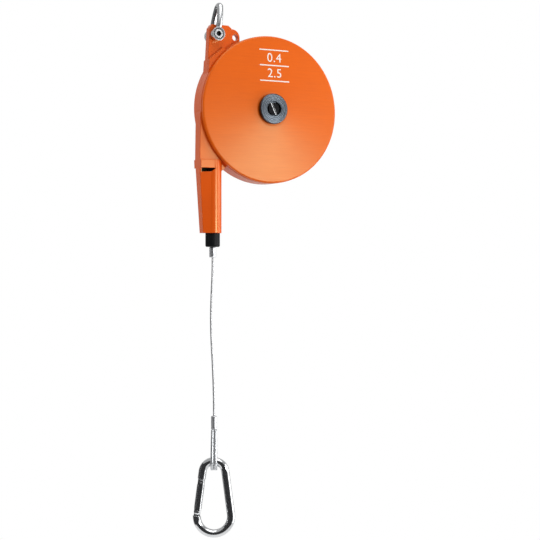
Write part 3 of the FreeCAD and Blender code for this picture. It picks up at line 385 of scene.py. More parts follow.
@dataclass(frozen=True)
class TurnedEnamel:
    """The cover's enamel: the same colour over the fine rings of a turned face."""

    centre: Span
    colour: Colour = (0.79, 0.120, 0.003)
    deep: Colour = (0.65, 0.082, 0.003)
    cloud: Mottle = Mottle(22.0, 3.0)
    cloud_span: Span = (0.35, 0.75)
    cloud_share: float = 0.25
    streak: Mottle = Mottle(120.0, 4.0, (0.5, 1.0, 9.0))
    streak_span: Span = (0.3, 0.7)
    streak_share: float = 0.28
    roughness: float = 0.25
    streak_dull: float = 0.10
    gloss: float = 0.45
    sheen: Colour = (0.70, 1.0, 0.56)
    pitch: float = 0.0009
    wander: Mottle = Mottle(60.0)
    wander_angle: float = 5.0
    ring_share: float = 0.6
    peel: Mottle = Mottle(700.0)
    peel_share: float = 0.8
    depth: float = 0.000006
    edge: float = 0.0007

    def material(self) -> bpy.types.Material:
        """Build the finish; a ring's height is a sine of the radius, which noise shifts.

        Returns:
            The material.
        """
        sheet = NodeSheet("orange_enamel_turned")
        turns = sheet.radius(self.centre) * (2 * math.pi / self.pitch)
        rings = (turns + sheet.mottle(self.wander) * self.wander_angle).wave()
        cloud = sheet.mottle(self.cloud)
        streak = sheet.mottle(self.streak)
        tone = cloud.stretched(*self.cloud_span) * self.cloud_share
        tone = tone + streak.stretched(*self.streak_span) * self.streak_share
        height = rings * self.ring_share + sheet.mottle(self.peel) * self.peel_share
        return sheet.finish(
            Base_Color=sheet.blend(tone, self.colour, self.deep),
            Roughness=self.roughness + streak * self.streak_dull,
            Specular_IOR_Level=self.gloss,
            Specular_Tint=(*self.sheen, 1.0),
            Normal=sheet.relief(height, self.depth, self.edge),
        )


@dataclass(frozen=True)
class TurnedSteel:
    """Blued steel from a lathe: concentric rings, paler where the tool burnished it."""

    centre: Span
    dark: Colour = (0.026, 0.030, 0.035)
    pale: Colour = (0.15, 0.175, 0.205)
    band: Mottle = Mottle(1400.0, 3.0)
    span: Span = (0.25, 0.75)
    roughness: float = 0.20
    band_dull: float = 0.14
    pitch: float = 0.0011
    ring_share: float = 0.6
    depth: float = 0.000010
    edge: float = 0.0003

    def material(self) -> bpy.types.Material:
        """Build the finish; the tone follows noise that changes with the radius alone.

        Returns:
            The material.
        """
        sheet = NodeSheet("blued_steel_turned")
        radius = sheet.radius(self.centre)
        band = sheet.node(
            "ShaderNodeTexNoise",
            {"noise_dimensions": "1D"},
            {"W": radius * self.band.scale, "Scale": 1.0, "Detail": self.band.detail},
        )
        rings = (radius * (2 * math.pi / self.pitch)).wave()
        return sheet.finish(
            Base_Color=sheet.toned(band, self.span, 1.0, self.dark, self.pale),
            Metallic=1.0,
            Roughness=self.roughness + band * self.band_dull,
            Normal=sheet.relief(rings * self.ring_share + band, self.depth, self.edge),
        )


@dataclass(frozen=True)
class Plating:
    """Bright zinc plating: a mirror with a faint haze and fine spots."""

    name: str = "bright_zinc"
    colour: Colour = (0.86, 0.87, 0.88)
    dim: Colour = (0.66, 0.68, 0.70)
    roughness: float = 0.05
    haze: Mottle = Mottle(140.0, 4.0)
    span: Span = (0.4, 0.8)
    share: float = 0.6
    haze_dull: float = 0.07
    haze_rise: float = 2.0
    spots: Mottle = Mottle(1500.0)
    spots_dull: float = 0.02
    depth: float = 0.000006
    edge: float = 0.00035

    def material(self) -> bpy.types.Material:
        """Build the finish.

        Returns:
            The material.
        """
        sheet = NodeSheet(self.name)
        haze = sheet.mottle(self.haze)
        spots = sheet.mottle(self.spots)
        return sheet.finish(
            Base_Color=sheet.toned(haze, self.span, self.share, self.colour, self.dim),
            Metallic=1.0,
            Roughness=self.roughness + haze * self.haze_dull + spots * self.spots_dull,
            Normal=sheet.relief(spots + haze * self.haze_rise, self.depth, self.edge),
        )


@dataclass(frozen=True)
class ForgedPlating:
    """Zinc plating on the forged bow, with painted shade in the step round the pin's head.

    The painted shade lies between the two radii of its ring, measured from the pin's axis.
    """

    centre: Span
    colour: Colour = (0.74, 0.75, 0.76)
    dim: Colour = (0.50, 0.52, 0.54)
    haze: Mottle = Mottle(140.0, 4.0)
    span: Span = (0.4, 0.8)
    share: float = 0.6
    roughness: float = 0.22
    haze_dull: float = 0.07
    haze_rise: float = 2.0
    spots: Mottle = Mottle(1500.0)
    ring_shade_colour: Colour = (0.045, 0.045, 0.048)
    shade_radii: Span = (0.0044, 0.0056)
    shade_blur: float = 0.0005
    shade_least: float = 0.6
    shade_spotted: float = 0.6
    shade_dull: float = 0.2
    depth: float = 0.000006
    edge: float = 0.0003

    def material(self) -> bpy.types.Material:
        """Build the finish.

        Returns:
            The material.
        """
        sheet = NodeSheet("bright_zinc_forged")
        haze = sheet.mottle(self.haze)
        spots = sheet.mottle(self.spots)
        # Painted shade: a darker, spotted ring in the step round the pin's head.
        ring = sheet.radius(self.centre).within(self.shade_radii, self.shade_blur)
        ring_shade = ring * (spots * self.shade_spotted + self.shade_least)
        plated = sheet.toned(haze, self.span, self.share, self.colour, self.dim)
        return sheet.finish(
            Base_Color=sheet.blend(ring_shade, plated, self.ring_shade_colour),
            Metallic=1.0,
            Roughness=self.roughness + haze * self.haze_dull + ring_shade * self.shade_dull,
            Normal=sheet.relief(spots + haze * self.haze_rise, self.depth, self.edge),
        )


@dataclass(frozen=True)
class SocketedPin:
    """A plated pin whose socket, seen along Y, is painted dark: painted shade for its hollow.

    The painted shade lies within the socket's radius of the pin's axis.
    """

    centre: Span
    socket: float = 0.0028
    socket_blur: float = 0.0003
    colour: Colour = (0.82, 0.83, 0.84)
    dim: Colour = (0.30, 0.31, 0.33)
    haze: Mottle = Mottle(700.0, 4.0)
    span: Span = (0.45, 0.7)
    share: float = 0.8
    socket_shade: Colour = (0.010, 0.010, 0.010)
    socket_shade_dull: float = 0.4
    roughness: float = 0.24
    haze_dull: float = 0.2
    depth: float = 0.00002
    edge: float = 0.0003

    def material(self) -> bpy.types.Material:
        """Build the finish.

        Returns:
            The material.
        """
        sheet = NodeSheet("bright_zinc_socketed")
        radius = sheet.radius(self.centre)
        # Painted shade: inside the socket's radius the pin is painted near-black and not metallic,
        # for the socket's hollow.
        inside = radius.stretched(self.socket, self.socket - self.socket_blur)
        haze = sheet.mottle(self.haze)
        plated = sheet.toned(haze, self.span, self.share, self.colour, self.dim)
        return sheet.finish(
            Base_Color=sheet.blend(inside, plated, self.socket_shade),
            Metallic=1.0 - inside,
            Roughness=self.roughness + haze * self.haze_dull + inside * self.socket_shade_dull,
            Normal=sheet.relief(haze, self.depth, self.edge),
        )


@dataclass(frozen=True)
class SlottedHead:
    """A blackened screw whose slot is painted bright steel: a painted highlight for the glint on
    the slot's walls.
    """

    centre: Span
    slot: float = 0.00087
    slot_blur: float = 0.00020
    angle: float = math.radians(25.0)
    black: Colour = (0.012, 0.012, 0.013)
    bright: Colour = (0.70, 0.71, 0.72)
    grain: Mottle = Mottle(900.0, 3.0)
    glint_least: float = 0.4
    roughness: float = 0.18
    grain_dull: float = 0.15
    depth: float = 0.00001
    edge: float = 0.0002

    def material(self) -> bpy.types.Material:
        """Build the finish; the distance from the slot's middle line decides the tone.

        Returns:
            The material.
        """
        sheet = NodeSheet("black_oxide_slotted")
        across, up = sheet.offsets(self.centre)
        off = across * math.cos(self.angle) + up * math.sin(self.angle)
        # Painted highlight: the band along the slot is painted bright steel for the glint on its
        # walls.
        glint = (off * off).root().stretched(self.slot + self.slot_blur, self.slot)
        grain = sheet.mottle(self.grain)
        share = glint * (self.glint_least + grain)
        return sheet.finish(
            Base_Color=sheet.blend(share, self.black, self.bright),
            Metallic=1.0,
            Roughness=self.roughness + grain * self.grain_dull,
            Normal=sheet.relief(grain, self.depth, self.edge),
        )


@dataclass(frozen=True)
class Metal:
    """A plain worked metal: tone, roughness and a fine grain along one axis."""

    name: str
    colour: Colour
    worn: Colour
    roughness: float
    grain: Mottle = Mottle(900.0, 3.0)
    depth: float = 0.00001
    edge: float = 0.0002
    tone: Mottle = Mottle(220.0, 3.0)
    span: Span = (0.3, 0.75)
    grain_dull: float = 0.15

    def material(self) -> bpy.types.Material:
        """Build the finish.

        Returns:
            The material.
        """
        sheet = NodeSheet(self.name)
        tone = sheet.mottle(self.tone)
        grain = sheet.mottle(self.grain)
        return sheet.finish(
            Base_Color=sheet.toned(tone, self.span, 1.0, self.colour, self.worn),
            Metallic=1.0,
            Roughness=self.roughness + grain * self.grain_dull,
            Normal=sheet.relief(grain, self.depth, self.edge),
        )


@dataclass(frozen=True)
class Moulded:
    """Rubber or moulded plastic: nearly black, a fine spark-eroded grain, dull edges."""

    name: str
    colour: Colour
    dusty: Colour
    roughness: float
    dust: Mottle = Mottle(90.0, 4.0)
    span: Span = (0.4, 0.8)
    dust_dull: float = 0.2
    gloss: float = 0.14
    grain: Mottle = Mottle(1800.0)
    depth: float = 0.00003
    edge: float = 0.0004

    def material(self) -> bpy.types.Material:
        """Build the finish.

        Returns:
            The material.
        """
        sheet = NodeSheet(self.name)
        dust = sheet.mottle(self.dust)
        return sheet.finish(
            Base_Color=sheet.toned(dust, self.span, 1.0, self.colour, self.dusty),
            Roughness=self.roughness + (dust - 0.5) * self.dust_dull,
            Specular_IOR_Level=self.gloss,
            Normal=sheet.relief(sheet.mottle(self.grain), self.depth, self.edge),
        )


@dataclass(frozen=True)
class RopeSteel:
    """Galvanised wire rope: each strand's wires show as fine lines round its lay, with painted
    shade in the grooves between them and painted highlight on their crests.
    """

    colour: Colour = (0.82, 0.83, 0.84)
    groove_shade: Colour = (0.42, 0.42, 0.43)
    wires: float = 18.0
    turns: float = 900.0
    wire_share: float = 0.6
    tone: Mottle = Mottle(400.0, 3.0)
    tone_share: float = 0.4
    roughness: float = 0.30
    tone_dull: float = 0.15
    depth: float = 0.00002

    def material(self) -> bpy.types.Material:
        """Build the finish; the piece's own map has the lay across and the length along it.

        The wires are a sine of their number times the way round, less their turns in a metre
        times the way along.

        Returns:
            The material.
        """
        sheet = NodeSheet("wire_rope")
        across, along, _ = sheet.split(sheet.node("ShaderNodeUVMap", {"uv_map": "lay"}))
        wire = ((across * self.wires - along * self.turns) * (2 * math.pi)).wave()
        tone = sheet.mottle(self.tone)
        # Painted shade and highlight: the wires' crests are painted pale and the grooves between
        # them darker, over a random tone.
        wire_shading_and_tone = wire * self.wire_share + tone * self.tone_share
        return sheet.finish(
            Base_Color=sheet.blend(wire_shading_and_tone, self.groove_shade, self.colour),
            Metallic=1.0,
            Roughness=self.roughness + tone * self.tone_dull,
            Normal=sheet.relief(wire, self.depth),
        )


@dataclass(frozen=True)
class Print:
    """White printing ink on the enamel: flat, slightly broken up by its grain."""

    colour: Colour = (0.86, 0.80, 0.74)
    thin: Colour = (0.86, 0.62, 0.48)
    grain: Mottle = Mottle(1300.0, 3.0)
    span: Span = (0.55, 0.8)
    share: float = 0.5
    roughness: float = 0.45
    grain_dull: float = 0.1
    depth: float = 0.000008

    def material(self) -> bpy.types.Material:
        """Build the finish.

        Returns:
            The material.
        """
        sheet = NodeSheet("white_print")
        grain = sheet.mottle(self.grain)
        return sheet.finish(
            Base_Color=sheet.toned(grain, self.span, self.share, self.colour, self.thin),
            Roughness=self.roughness + grain * self.grain_dull,
            Normal=sheet.relief(grain, self.depth),
        )


# --------------------------------------------------------------------- surfaces


def grid_mesh(name: str, points: np.ndarray, closed_u: bool, capped: bool) -> bpy.types.Object:
    """Make a mesh from a grid of points.

    Rows follow the first index and wrap round the second when closed_u is set. Each cell is
    one quad, and a cap joins all the points of the first and of the last row.

    Args:
        name: The piece's name.
        points: An array of rows x columns x 3, in metres.
        closed_u: Whether each row closes on itself.
        capped: Whether the first and last rows are closed with one face each.

    Returns:
        The new object, linked to the scene.
    """
    rows, columns = points.shape[:2]
    index = np.arange(rows * columns).reshape(rows, columns)
    last = columns if closed_u else columns - 1
    after = np.roll(index, -1, axis=1)[:, :last]
    here = index[:, :last]
    quads = np.stack([here[:-1], after[:-1], after[1:], here[1:]], axis=-1).reshape(-1, 4)
    faces = quads.tolist()
    if capped:
        faces += [index[0, ::-1].tolist(), index[-1].tolist()]
    mesh = bpy.data.meshes.new(name)
    mesh.from_pydata(points.reshape(-1, 3), [], faces)
    mesh.polygons.foreach_set("use_smooth", np.ones(len(faces), bool))
    thing = bpy.data.objects.new(name, mesh)
    bpy.context.scene.collection.objects.link(thing)
    return thing


def carried_frames(path: np.ndarray) -> tuple[np.ndarray, np.ndarray]:
    """Return two directions across a path at each of its points.

    The first is the normal of the plane that fits the path best, less its part along the
    tangent, and the second is the cross product of the tangent and the first.

    Args:
        path: Points along the path.

    Returns:
        The two directions across, an array each.
    """
    tangent = np.gradient(path, axis=0)
    tangent /= np.linalg.norm(tangent, axis=1, keepdims=True)
    _, _, planes = np.linalg.svd(path - path.mean(axis=0))
    normal = planes[2]
    first = normal - tangent * (tangent @ normal)[:, None]
    first /= np.linalg.norm(first, axis=1, keepdims=True)
    return first, np.cross(tangent, first)


def mesh_of(curve: bpy.types.Curve) -> bpy.types.Mesh:
    """Turn a curve or a text into a mesh.

    Args:
        curve: The curve's data.

    Returns:
        A mesh with its points.
    """
    source = bpy.data.objects.new(curve.name, curve)
    bpy.context.scene.collection.objects.link(source)
    shown = source.evaluated_get(bpy.context.evaluated_depsgraph_get())
    mesh = bpy.data.meshes.new_from_object(shown)
    bpy.data.objects.remove(source)
    return mesh


def points_of(mesh: bpy.types.Mesh) -> np.ndarray:
    """Read a mesh's points.

    Args:
        mesh: The mesh.

    Returns:
        One row for each point.
    """
    spots = np.zeros(len(mesh.vertices) * 3)
    mesh.vertices.foreach_get("co", spots)
    return spots.reshape(-1, 3)


def stranded(name: str, path: np.ndarray, radius: float, lay: float) -> bpy.types.Object:
    """Make a rope of six strands that follows a path.

    The section is six circles of a third of the radius round a core: at an angle a from a
    strand's middle its edge lies at two thirds of the radius times cos a, plus the root of
    (radius / 3) squared less (two thirds of the radius times sin a) squared. The section
    turns once in each lay length along the path.

    Args:
        name: The piece's name.
        path: Points along the middle.
        radius: The radius over the strands.
        lay: The length in which a strand goes once round.

    Returns:
        The new object, with a map called lay.
    """
    steps = np.linalg.norm(np.diff(path, axis=0), axis=1)
    along = np.concatenate([[0.0], np.cumsum(steps)])
    count = max(int(along[-1] / RING_GAP), LEAST_RINGS)
    even = np.linspace(0.0, along[-1], count)
    path = np.stack([np.interp(even, along, path[:, axis]) for axis in range(3)], axis=1)
    first, second = carried_frames(path)
    angle = np.linspace(0.0, 2 * np.pi, RING_POINTS, endpoint=False)
    part = 2 * np.pi / STRANDS
    off = np.mod(angle + part / 2, part) - part / 2
    middle, strand = 2 / 3, 1 / 3
    rest = np.maximum(strand**2 - (middle * np.sin(off)) ** 2, 0.0)
    ring = middle * np.cos(off) + np.sqrt(rest)
    turned = angle[None, :] + (2 * np.pi / lay) * even[:, None]
    reach = radius * ring[None, :, None]
    points = (
        path[:, None, :]
        + reach * np.cos(turned)[..., None] * first[:, None, :]
        + reach * np.sin(turned)[..., None] * second[:, None, :]
    )
    thing = grid_mesh(name, points, closed_u=True, capped=True)
    mesh = thing.data
    corner = np.zeros(len(mesh.loops), np.int32)
    mesh.loops.foreach_get("vertex_index", corner)
    across = np.tile(angle / (2 * np.pi), count)
    length = np.repeat(even, len(angle))
    layer = mesh.uv_layers.new(name="lay")
    layer.data.foreach_set("uv", np.stack([across[corner], length[corner]], axis=1).ravel())
    return thing


def dress(thing: bpy.types.Object, finish: bpy.types.Material) -> None:
    """Give a piece one finish.

    Args:
        thing: The piece.
        finish: The material.
    """
    if thing.material_slots:
        for slot in thing.material_slots:
            slot.material = finish
    else:
        thing.data.materials.append(finish)


class SubAssembly:
    """A group of pieces that are dressed together."""

    title: str = "sub-assembly"

    def build(self) -> None:
        """Build the group and report it."""
        raise NotImplementedError

    def clothe(self, finish: bpy.types.Material, nodes: Sequence[str]) -> None:
        """Give carried-over nodes a finish and report them.

        Args:
            finish: The material.
            nodes: The nodes' names.
        """
        for name in nodes:
            dress(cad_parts[name], finish)
            LOG.info("%s: %s has %s", self.title, name, finish.name)


# --------------------------------------------------------------- sub-assemblies


@dataclass
class Housing(SubAssembly):
    """The casting, its cover and the numbers printed on it."""

    drum_x: float = 0.051639
    drum_z: float = -0.097673
    hub_face: float = -0.0148
    cover_face: float = -0.0112
    flat_radius: float = 0.017
    cover_radius: float = 0.0717
    print_x: float = 0.0548
    print_z: float = -0.0540
    print_lift: float = 0.00006
    print_side: float = 0.0320
    print_line: float = 0.0011
    bar_points: Sequence[int] = (24, 3)
    figure_tall: float = 0.0088
    figure_low: Span = (0.0036, -0.0118)
    figure_gap: float = 1.06
    capital_share: float = 0.70
    title: str = "housing"

    def build(self) -> None:
        """Dress the casting and the cover, then print the numbers."""
        self.clothe(Enamel().material(), ["housing"])
        centre = (self.drum_x, self.drum_z)
        self.clothe(TurnedEnamel(centre).material(), ["front_cover"])
        ink = Print().material()
        for index, thing in enumerate(self._printed()):
            dress(thing, ink)
            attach(thing, "case")
            LOG.info("%s: print %d", self.title, index)

    def cone(self, x: np.ndarray, z: np.ndarray) -> np.ndarray:
        """Work out the cover's face at points: flat round the hub, then a straight cone.

        Args:
            x: Distances along X.
            z: Distances along Z.

        Returns:
            The face's y at each point, lifted by the ink's thickness.
        """
        radius = np.hypot(x - self.drum_x, z - self.drum_z)
        share = np.clip((radius - self.flat_radius) / (self.cover_radius - self.flat_radius), 0, 1)
        return self.hub_face + (self.cover_face - self.hub_face) * share - self.print_lift

    def _bar(self, name: str, low: float) -> bpy.types.Object:
        """Print one bar, as wide as the print, as a grid laid on the cone.

        Args:
            name: The piece's name.
            low: Its lower edge from the print's middle.

        Returns:
            The printed bar.
        """
        columns, rows = self.bar_points
        across = self.print_x + self.print_side * (np.linspace(0, 1, columns) - 0.5)
        up = self.print_z + low + self.print_line * np.linspace(0, 1, rows)
        x, z = np.meshgrid(across, up)
        return grid_mesh(name, np.stack([x, self.cone(x, z), z], axis=-1), False, False)

    def _figure(self, name: str, text: str, low: float) -> bpy.types.Object:
        """Print one number as filled figures laid on the cone.

        Args:
            name: The piece's name.
            text: The number.
            low: The line's lower edge from the print's middle.

        Returns:
            The printed number.
        """
        curve = bpy.data.curves.new(name, "FONT")
        curve.body = text
        curve.align_x = "CENTER"
        curve.size = self.figure_tall / self.capital_share
        curve.space_character = self.figure_gap
        mesh = mesh_of(curve)
        spots = points_of(mesh)
        x, z = self.print_x + spots[:, 0], self.print_z + low + spots[:, 1]
        mesh.vertices.foreach_set("co", np.stack([x, self.cone(x, z), z], axis=1).ravel())
        mesh.name = name
        thing = bpy.data.objects.new(name, mesh)
        bpy.context.scene.collection.objects.link(thing)
        return thing

    def _printed(self) -> list[bpy.types.Object]:
        """Print three bars with two plain numbers between them.

        Returns:
            The five printed pieces.
        """
        half, line = self.print_side / 2, self.print_line
        return [
            self._bar("print_bar_top", half - line),
            self._bar("print_bar_middle", -line / 2),
            self._bar("print_bar_low", -half),
            self._figure("print_low_load", "0.4", self.figure_low[0]),
            self._figure("print_high_load", "2.5", self.figure_low[1]),
        ]


@dataclass
class Adjuster(SubAssembly):
    """The turned collar with its slotted screw, and the arbor behind them."""

    drum_x: float = 0.051639
    drum_z: float = -0.097673
    collar_face: float = -0.0193
    face_inner: float = 0.0079
    face_outer: float = 0.0141
    groove_pitch: float = 0.0004
    groove_depth: float = 0.00001
    groove_points: int = 8
    face_steps: int = 180
    title: str = "adjuster"

    def _turned_face(self) -> bpy.types.Object:
        """Lay a finely grooved ring on the collar's face.

        The grooves' depth is a sine of the radius, so the light draws a bow tie as it does
        on a face that comes from a lathe.

        Returns:
            The ring.
        """
        grooves = (self.face_outer - self.face_inner) / self.groove_pitch
        count = int(grooves * self.groove_points)
        radius = np.linspace(self.face_inner, self.face_outer, count)
        wave = np.sin(2 * np.pi * radius / self.groove_pitch)
        depth = self.collar_face - 2 * self.groove_depth + self.groove_depth * wave
        angle = np.linspace(0.0, 2 * np.pi, self.face_steps, endpoint=False)
        points = np.stack([
            self.drum_x + radius[:, None] * np.cos(angle),
            np.repeat(depth[:, None], len(angle), axis=1),
            self.drum_z + radius[:, None] * np.sin(angle),
        ], axis=-1)
        return grid_mesh("turned_face", points, closed_u=True, capped=False)

    def build(self) -> None:
        """Dress the collar and its screw, the black screws and ring, and the arbor."""
        centre = (self.drum_x, self.drum_z)
        turned = TurnedSteel(centre).material()
        self.clothe(turned, ["adjuster_collar"])
        face = self._turned_face()
        dress(face, turned)
        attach(face, "adjuster")
        self.clothe(SlottedHead(centre).material(), ["lock_screw"])
        oxide = Metal("black_oxide", (0.012, 0.012, 0.013), (0.05, 0.05, 0.052), 0.22)
        self.clothe(oxide.material(), ["cover_screws", "lid_screws", "retaining_ring"])
        bright = Metal("machined_steel", (0.50, 0.51, 0.53), (0.38, 0.39, 0.41), 0.28)
        self.clothe(bright.material(), ["spring_arbor", "arbor_washer"])


@dataclass
class Shackle(SubAssembly):
    """The plated bow and its pin."""

    pin_x: float = -0.004161
    pin_z: float = -0.026273
    title: str = "shackle"

    def build(self) -> None:
        """Dress the bow and the pin."""
        pin = (self.pin_x, self.pin_z)
        self.clothe(ForgedPlating(pin).material(), ["shackle_bow"])
        self.clothe(SocketedPin(pin).material(), ["shackle_pin"])


@dataclass
class DrumWorks(SubAssembly):
    """What is inside the housing: drum, spring, lid, bushes and wound rope."""

    title: str = "drum"

    def build(self) -> None:
        """Dress the inner pieces, and the gate's spring and plunger of the same steel."""
        alloy = Metal("cast_alloy", (0.60, 0.61, 0.63), (0.46, 0.47, 0.49), 0.38)
        self.clothe(alloy.material(), ["rope_drum"])
        sheet_steel = Metal("sheet_steel", (0.52, 0.53, 0.55), (0.40, 0.41, 0.43), 0.30)
        self.clothe(sheet_steel.material(), ["spring_lid", "rope_anchor"])
        spring = Metal("spring_steel", (0.16, 0.18, 0.22), (0.30, 0.30, 0.31), 0.26)
        self.clothe(spring.material(), ["main_spring", "gate_spring", "gate_plunger"])
        bronze = Metal("sintered_bronze", (0.50, 0.33, 0.14), (0.36, 0.24, 0.11), 0.45)
        self.clothe(
            bronze.material(), ["front_bush", "rear_bush", "drum_bush_front", "drum_bush_rear"]
        )
        lines = Mottle(900.0, 3.0, (1.0, 3.0, 1.0))
        wound = Metal(
            "wound_rope", (0.55, 0.56, 0.57), (0.34, 0.35, 0.36), 0.32, lines, depth=0.00004
        )
        self.clothe(wound.material(), ["rope_windings"])


@dataclass
class RopeOutlet(SubAssembly):
    """The guide, the rubber buffer, and the washers of the same plastic."""

    title: str = "rope outlet"

    def build(self) -> None:
        """Dress the outlet's pieces."""
        plastic = Moulded("black_plastic", (0.006, 0.006, 0.007), (0.012, 0.012, 0.013), 0.42)
        self.clothe(
            plastic.material(), ["rope_guide", "thrust_washer_front", "thrust_washer_rear"]
        )
        rubber = Moulded("black_rubber", (0.003, 0.004, 0.005), (0.008, 0.009, 0.010), 0.46)
        self.clothe(rubber.material(), ["rope_buffer"])


@dataclass
class Rope(SubAssembly):
    """The stranded rope: its lead, its free length, its eye, and the pieces pressed on it."""

    rope_x: float = -0.006361
    lead_top: float = -0.113457
    lead_low: float = -0.234673
    stop_low: float = -0.244673
    radius: float = 0.001
    lay: float = 0.0125
    eye_x: float = -0.004961
    eye_top: float = -0.413573
    eye_centre: float = 0.0312
    eye_radius: float = 0.0072
    strand_half: float = 0.00105
    strand_y: float = 0.0070578
    strand_z: float = -0.029776
    strand_steps: int = 39
    arc_steps: int = 60
    lead_steps: int = 200
    thimble_gap: float = 0.00002
    thimble_back: float = 0.0022
    thimble_lip: float = 0.0018
    thimble_slot: float = 0.00115
    thimble_curl: float = 0.00030
    thimble_over: float = 0.00118
    thimble_hollow: float = 0.00045
    thimble_throat: float = 0.0027
    thimble_half: float = 0.0031
    yaw: float = math.radians(-25.6)
    title: str = "rope"

    def route(self) -> list[tuple[float, float]]:
        """Give the free rope's own points.

        Returns:
            Each point's distance sideways from the rope's line, and up from the ferrule.
        """
        return [
            (0.0, 0.0),
            (0.0, -0.0140),
            (-0.0011, -0.0340),
            (-0.0019, -0.0560),
            (-0.0015, -0.0790),
            (-0.0001, -0.1020),
            (0.0009, -0.1240),
            (0.0014, -0.1430),
            (0.0014, -0.1559),
        ]

    def _centre_line(self) -> np.ndarray:
        """Read the rope's middle from the route's smooth spline.

        Returns:
            Points along the middle.
        """
        curve = bpy.data.curves.new("rope_route", "CURVE")
        curve.dimensions = "3D"
        spline = curve.splines.new("NURBS")
        route = self.route()
        spline.points.add(len(route) - 1)
        places = [(self.rope_x + side, 0.0, self.stop_low + up, 1.0) for side, up in route]
        spline.points.foreach_set("co", np.array(places).ravel())
        spline.order_u = 3
        spline.use_endpoint_u = True
        spline.resolution_u = 24
        return points_of(mesh_of(curve))

    def _eye_outline(self) -> np.ndarray:
        """Draw the eye's middle in its own plane: a straight strand, an arc, a strand back.

        Returns:
            Points sideways from and up from the eye's top.
        """
        low = math.atan2(self.strand_z + self.eye_centre, self.strand_y)
        swing = np.linspace(low, -math.pi - low, self.arc_steps)
        arc = self.eye_radius * np.stack([np.cos(swing), np.sin(swing)], axis=1)
        arc -= np.array([0.0, self.eye_centre])
        share = np.linspace(0.0, 1.0, self.strand_steps, endpoint=False)[:, None]
        down = np.array([self.strand_half, 0.0]) * (1 - share) + arc[0] * share
        up = (np.array([-self.strand_half, 0.0]) * (1 - share) + arc[-1] * share)[::-1]
        return np.concatenate([down, arc, up])

    def _in_eye(self, flat: np.ndarray, lift: np.ndarray) -> np.ndarray:
        """Carry points from the eye's plane to their place.

        Args:
            flat: Points in the plane, sideways and up, as the last axis.
            lift: How far each lies off the plane.

        Returns:
            The points in space.
        """
        side = np.array([-math.sin(self.yaw), math.cos(self.yaw), 0.0])
        off = np.array([math.cos(self.yaw), math.sin(self.yaw), 0.0])
        middle = np.array([self.eye_x, 0.0, self.eye_top])
        return middle + flat[..., :1] * side + flat[..., 1:] * RAISED + lift[..., None] * off

    def _thimble(self) -> bpy.types.Object:
        """Sweep the thimble's channel round the eye, its lips curled in over the rope.

        The section is a channel: its back lies thimble_back inside the rope's middle, or as
        far as the other half of the eye leaves room for near the ferrule, and its width
        grows from the ferrule down to the arc. The lips leave a slit of twice thimble_curl.

        Returns:
            The thimble.
        """
        flat = self._eye_outline()
        flat = flat[flat[:, 1] < -self.thimble_gap]
        run = np.gradient(flat, axis=0)
        run /= np.linalg.norm(run, axis=1, keepdims=True)
        outward = np.stack([-run[:, 1], run[:, 0]], axis=1)
        room = np.abs(flat[:, 0]) - self.thimble_gap
        arc = flat[:, 1] < self.strand_z
        back = np.where(arc, self.thimble_back, room.clip(0, self.thimble_back))
        grown = np.clip(flat[:, 1] / self.strand_z, 0.0, 1.0)
        half = self.thimble_throat + (self.thimble_half - self.thimble_throat) * grown
        even = np.ones(len(flat))
        slot, curl = even * self.thimble_slot, even * self.thimble_curl
        floor, lip = even * (self.radius + self.thimble_gap), even * self.thimble_lip
        over = even * self.thimble_over
        under = over - self.thimble_hollow
        lifts = [-half, -half, -curl, -curl, -slot, -slot, slot, slot, curl, curl, half, half]
        depths = [-back, lip, lip, over, under, -floor, -floor, under, over, lip, lip, -back]
        lifts, depths = np.stack(lifts, axis=1), np.stack(depths, axis=1)
        spots = flat[:, None, :] + depths[..., None] * outward[:, None, :]
        return grid_mesh("thimble_pressed", self._in_eye(spots, lifts), closed_u=True, capped=True)

    def build(self) -> None:
        steel = RopeSteel().material()
        sleeve = Metal("pressed_alloy", (0.80, 0.81, 0.83), (0.62, 0.63, 0.65), 0.36, depth=0.00003)
        self.clothe(sleeve.material(), ["stop_ferrule", "eye_ferrule"])
        pressed = Metal("pressed_zinc", (0.78, 0.80, 0.82), (0.62, 0.64, 0.66), 0.36, edge=0.0005)
        thimble = self._thimble()
        dress(thimble, pressed.material())
        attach(thimble, "rope_end")
        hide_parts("thimble")

        line = self._centre_line()
        free = stranded("free_rope_strands", line, self.radius, self.lay)
        dress(free, steel)
        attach(free, "rope_end")
        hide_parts("free_rope")

        outline = self._eye_outline()
        middle = self._in_eye(outline, np.zeros(len(outline)))
        eye = stranded("eye_loop_strands", middle, self.radius, self.lay)
        dress(eye, steel)
        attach(eye, "rope_end")
        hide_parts("eye_loop")

        ends = [[self.rope_x, 0.0, self.lead_top], [self.rope_x, 0.0, self.lead_low]]
        straight = np.linspace(*ends, self.lead_steps)
        lead = stranded("rope_lead_strands", straight, self.radius, self.lay)
        dress(lead, steel)
        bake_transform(lead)
        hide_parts("rope_lead")

        length = float(np.linalg.norm(np.diff(line, axis=0), axis=1).sum())
        2 * self.radius
        LOG.info("%s: free rope of %.4f m, eye and lead", self.title, length)


@dataclass
class SnapHook(SubAssembly):
    """The plated snap hook with its gate."""

    title: str = "snap hook"

    def build(self) -> None:
        """Dress the hook's pieces."""
        plate = Plating().material()
        self.clothe(plate, ["carabiner_body", "carabiner_gate"])
        dull = Plating("bright_zinc_rivet", roughness=0.18).material()
        self.clothe(dull, ["gate_rivet", "latch_pin"])


# ----------------------------------------------------------------------- studio


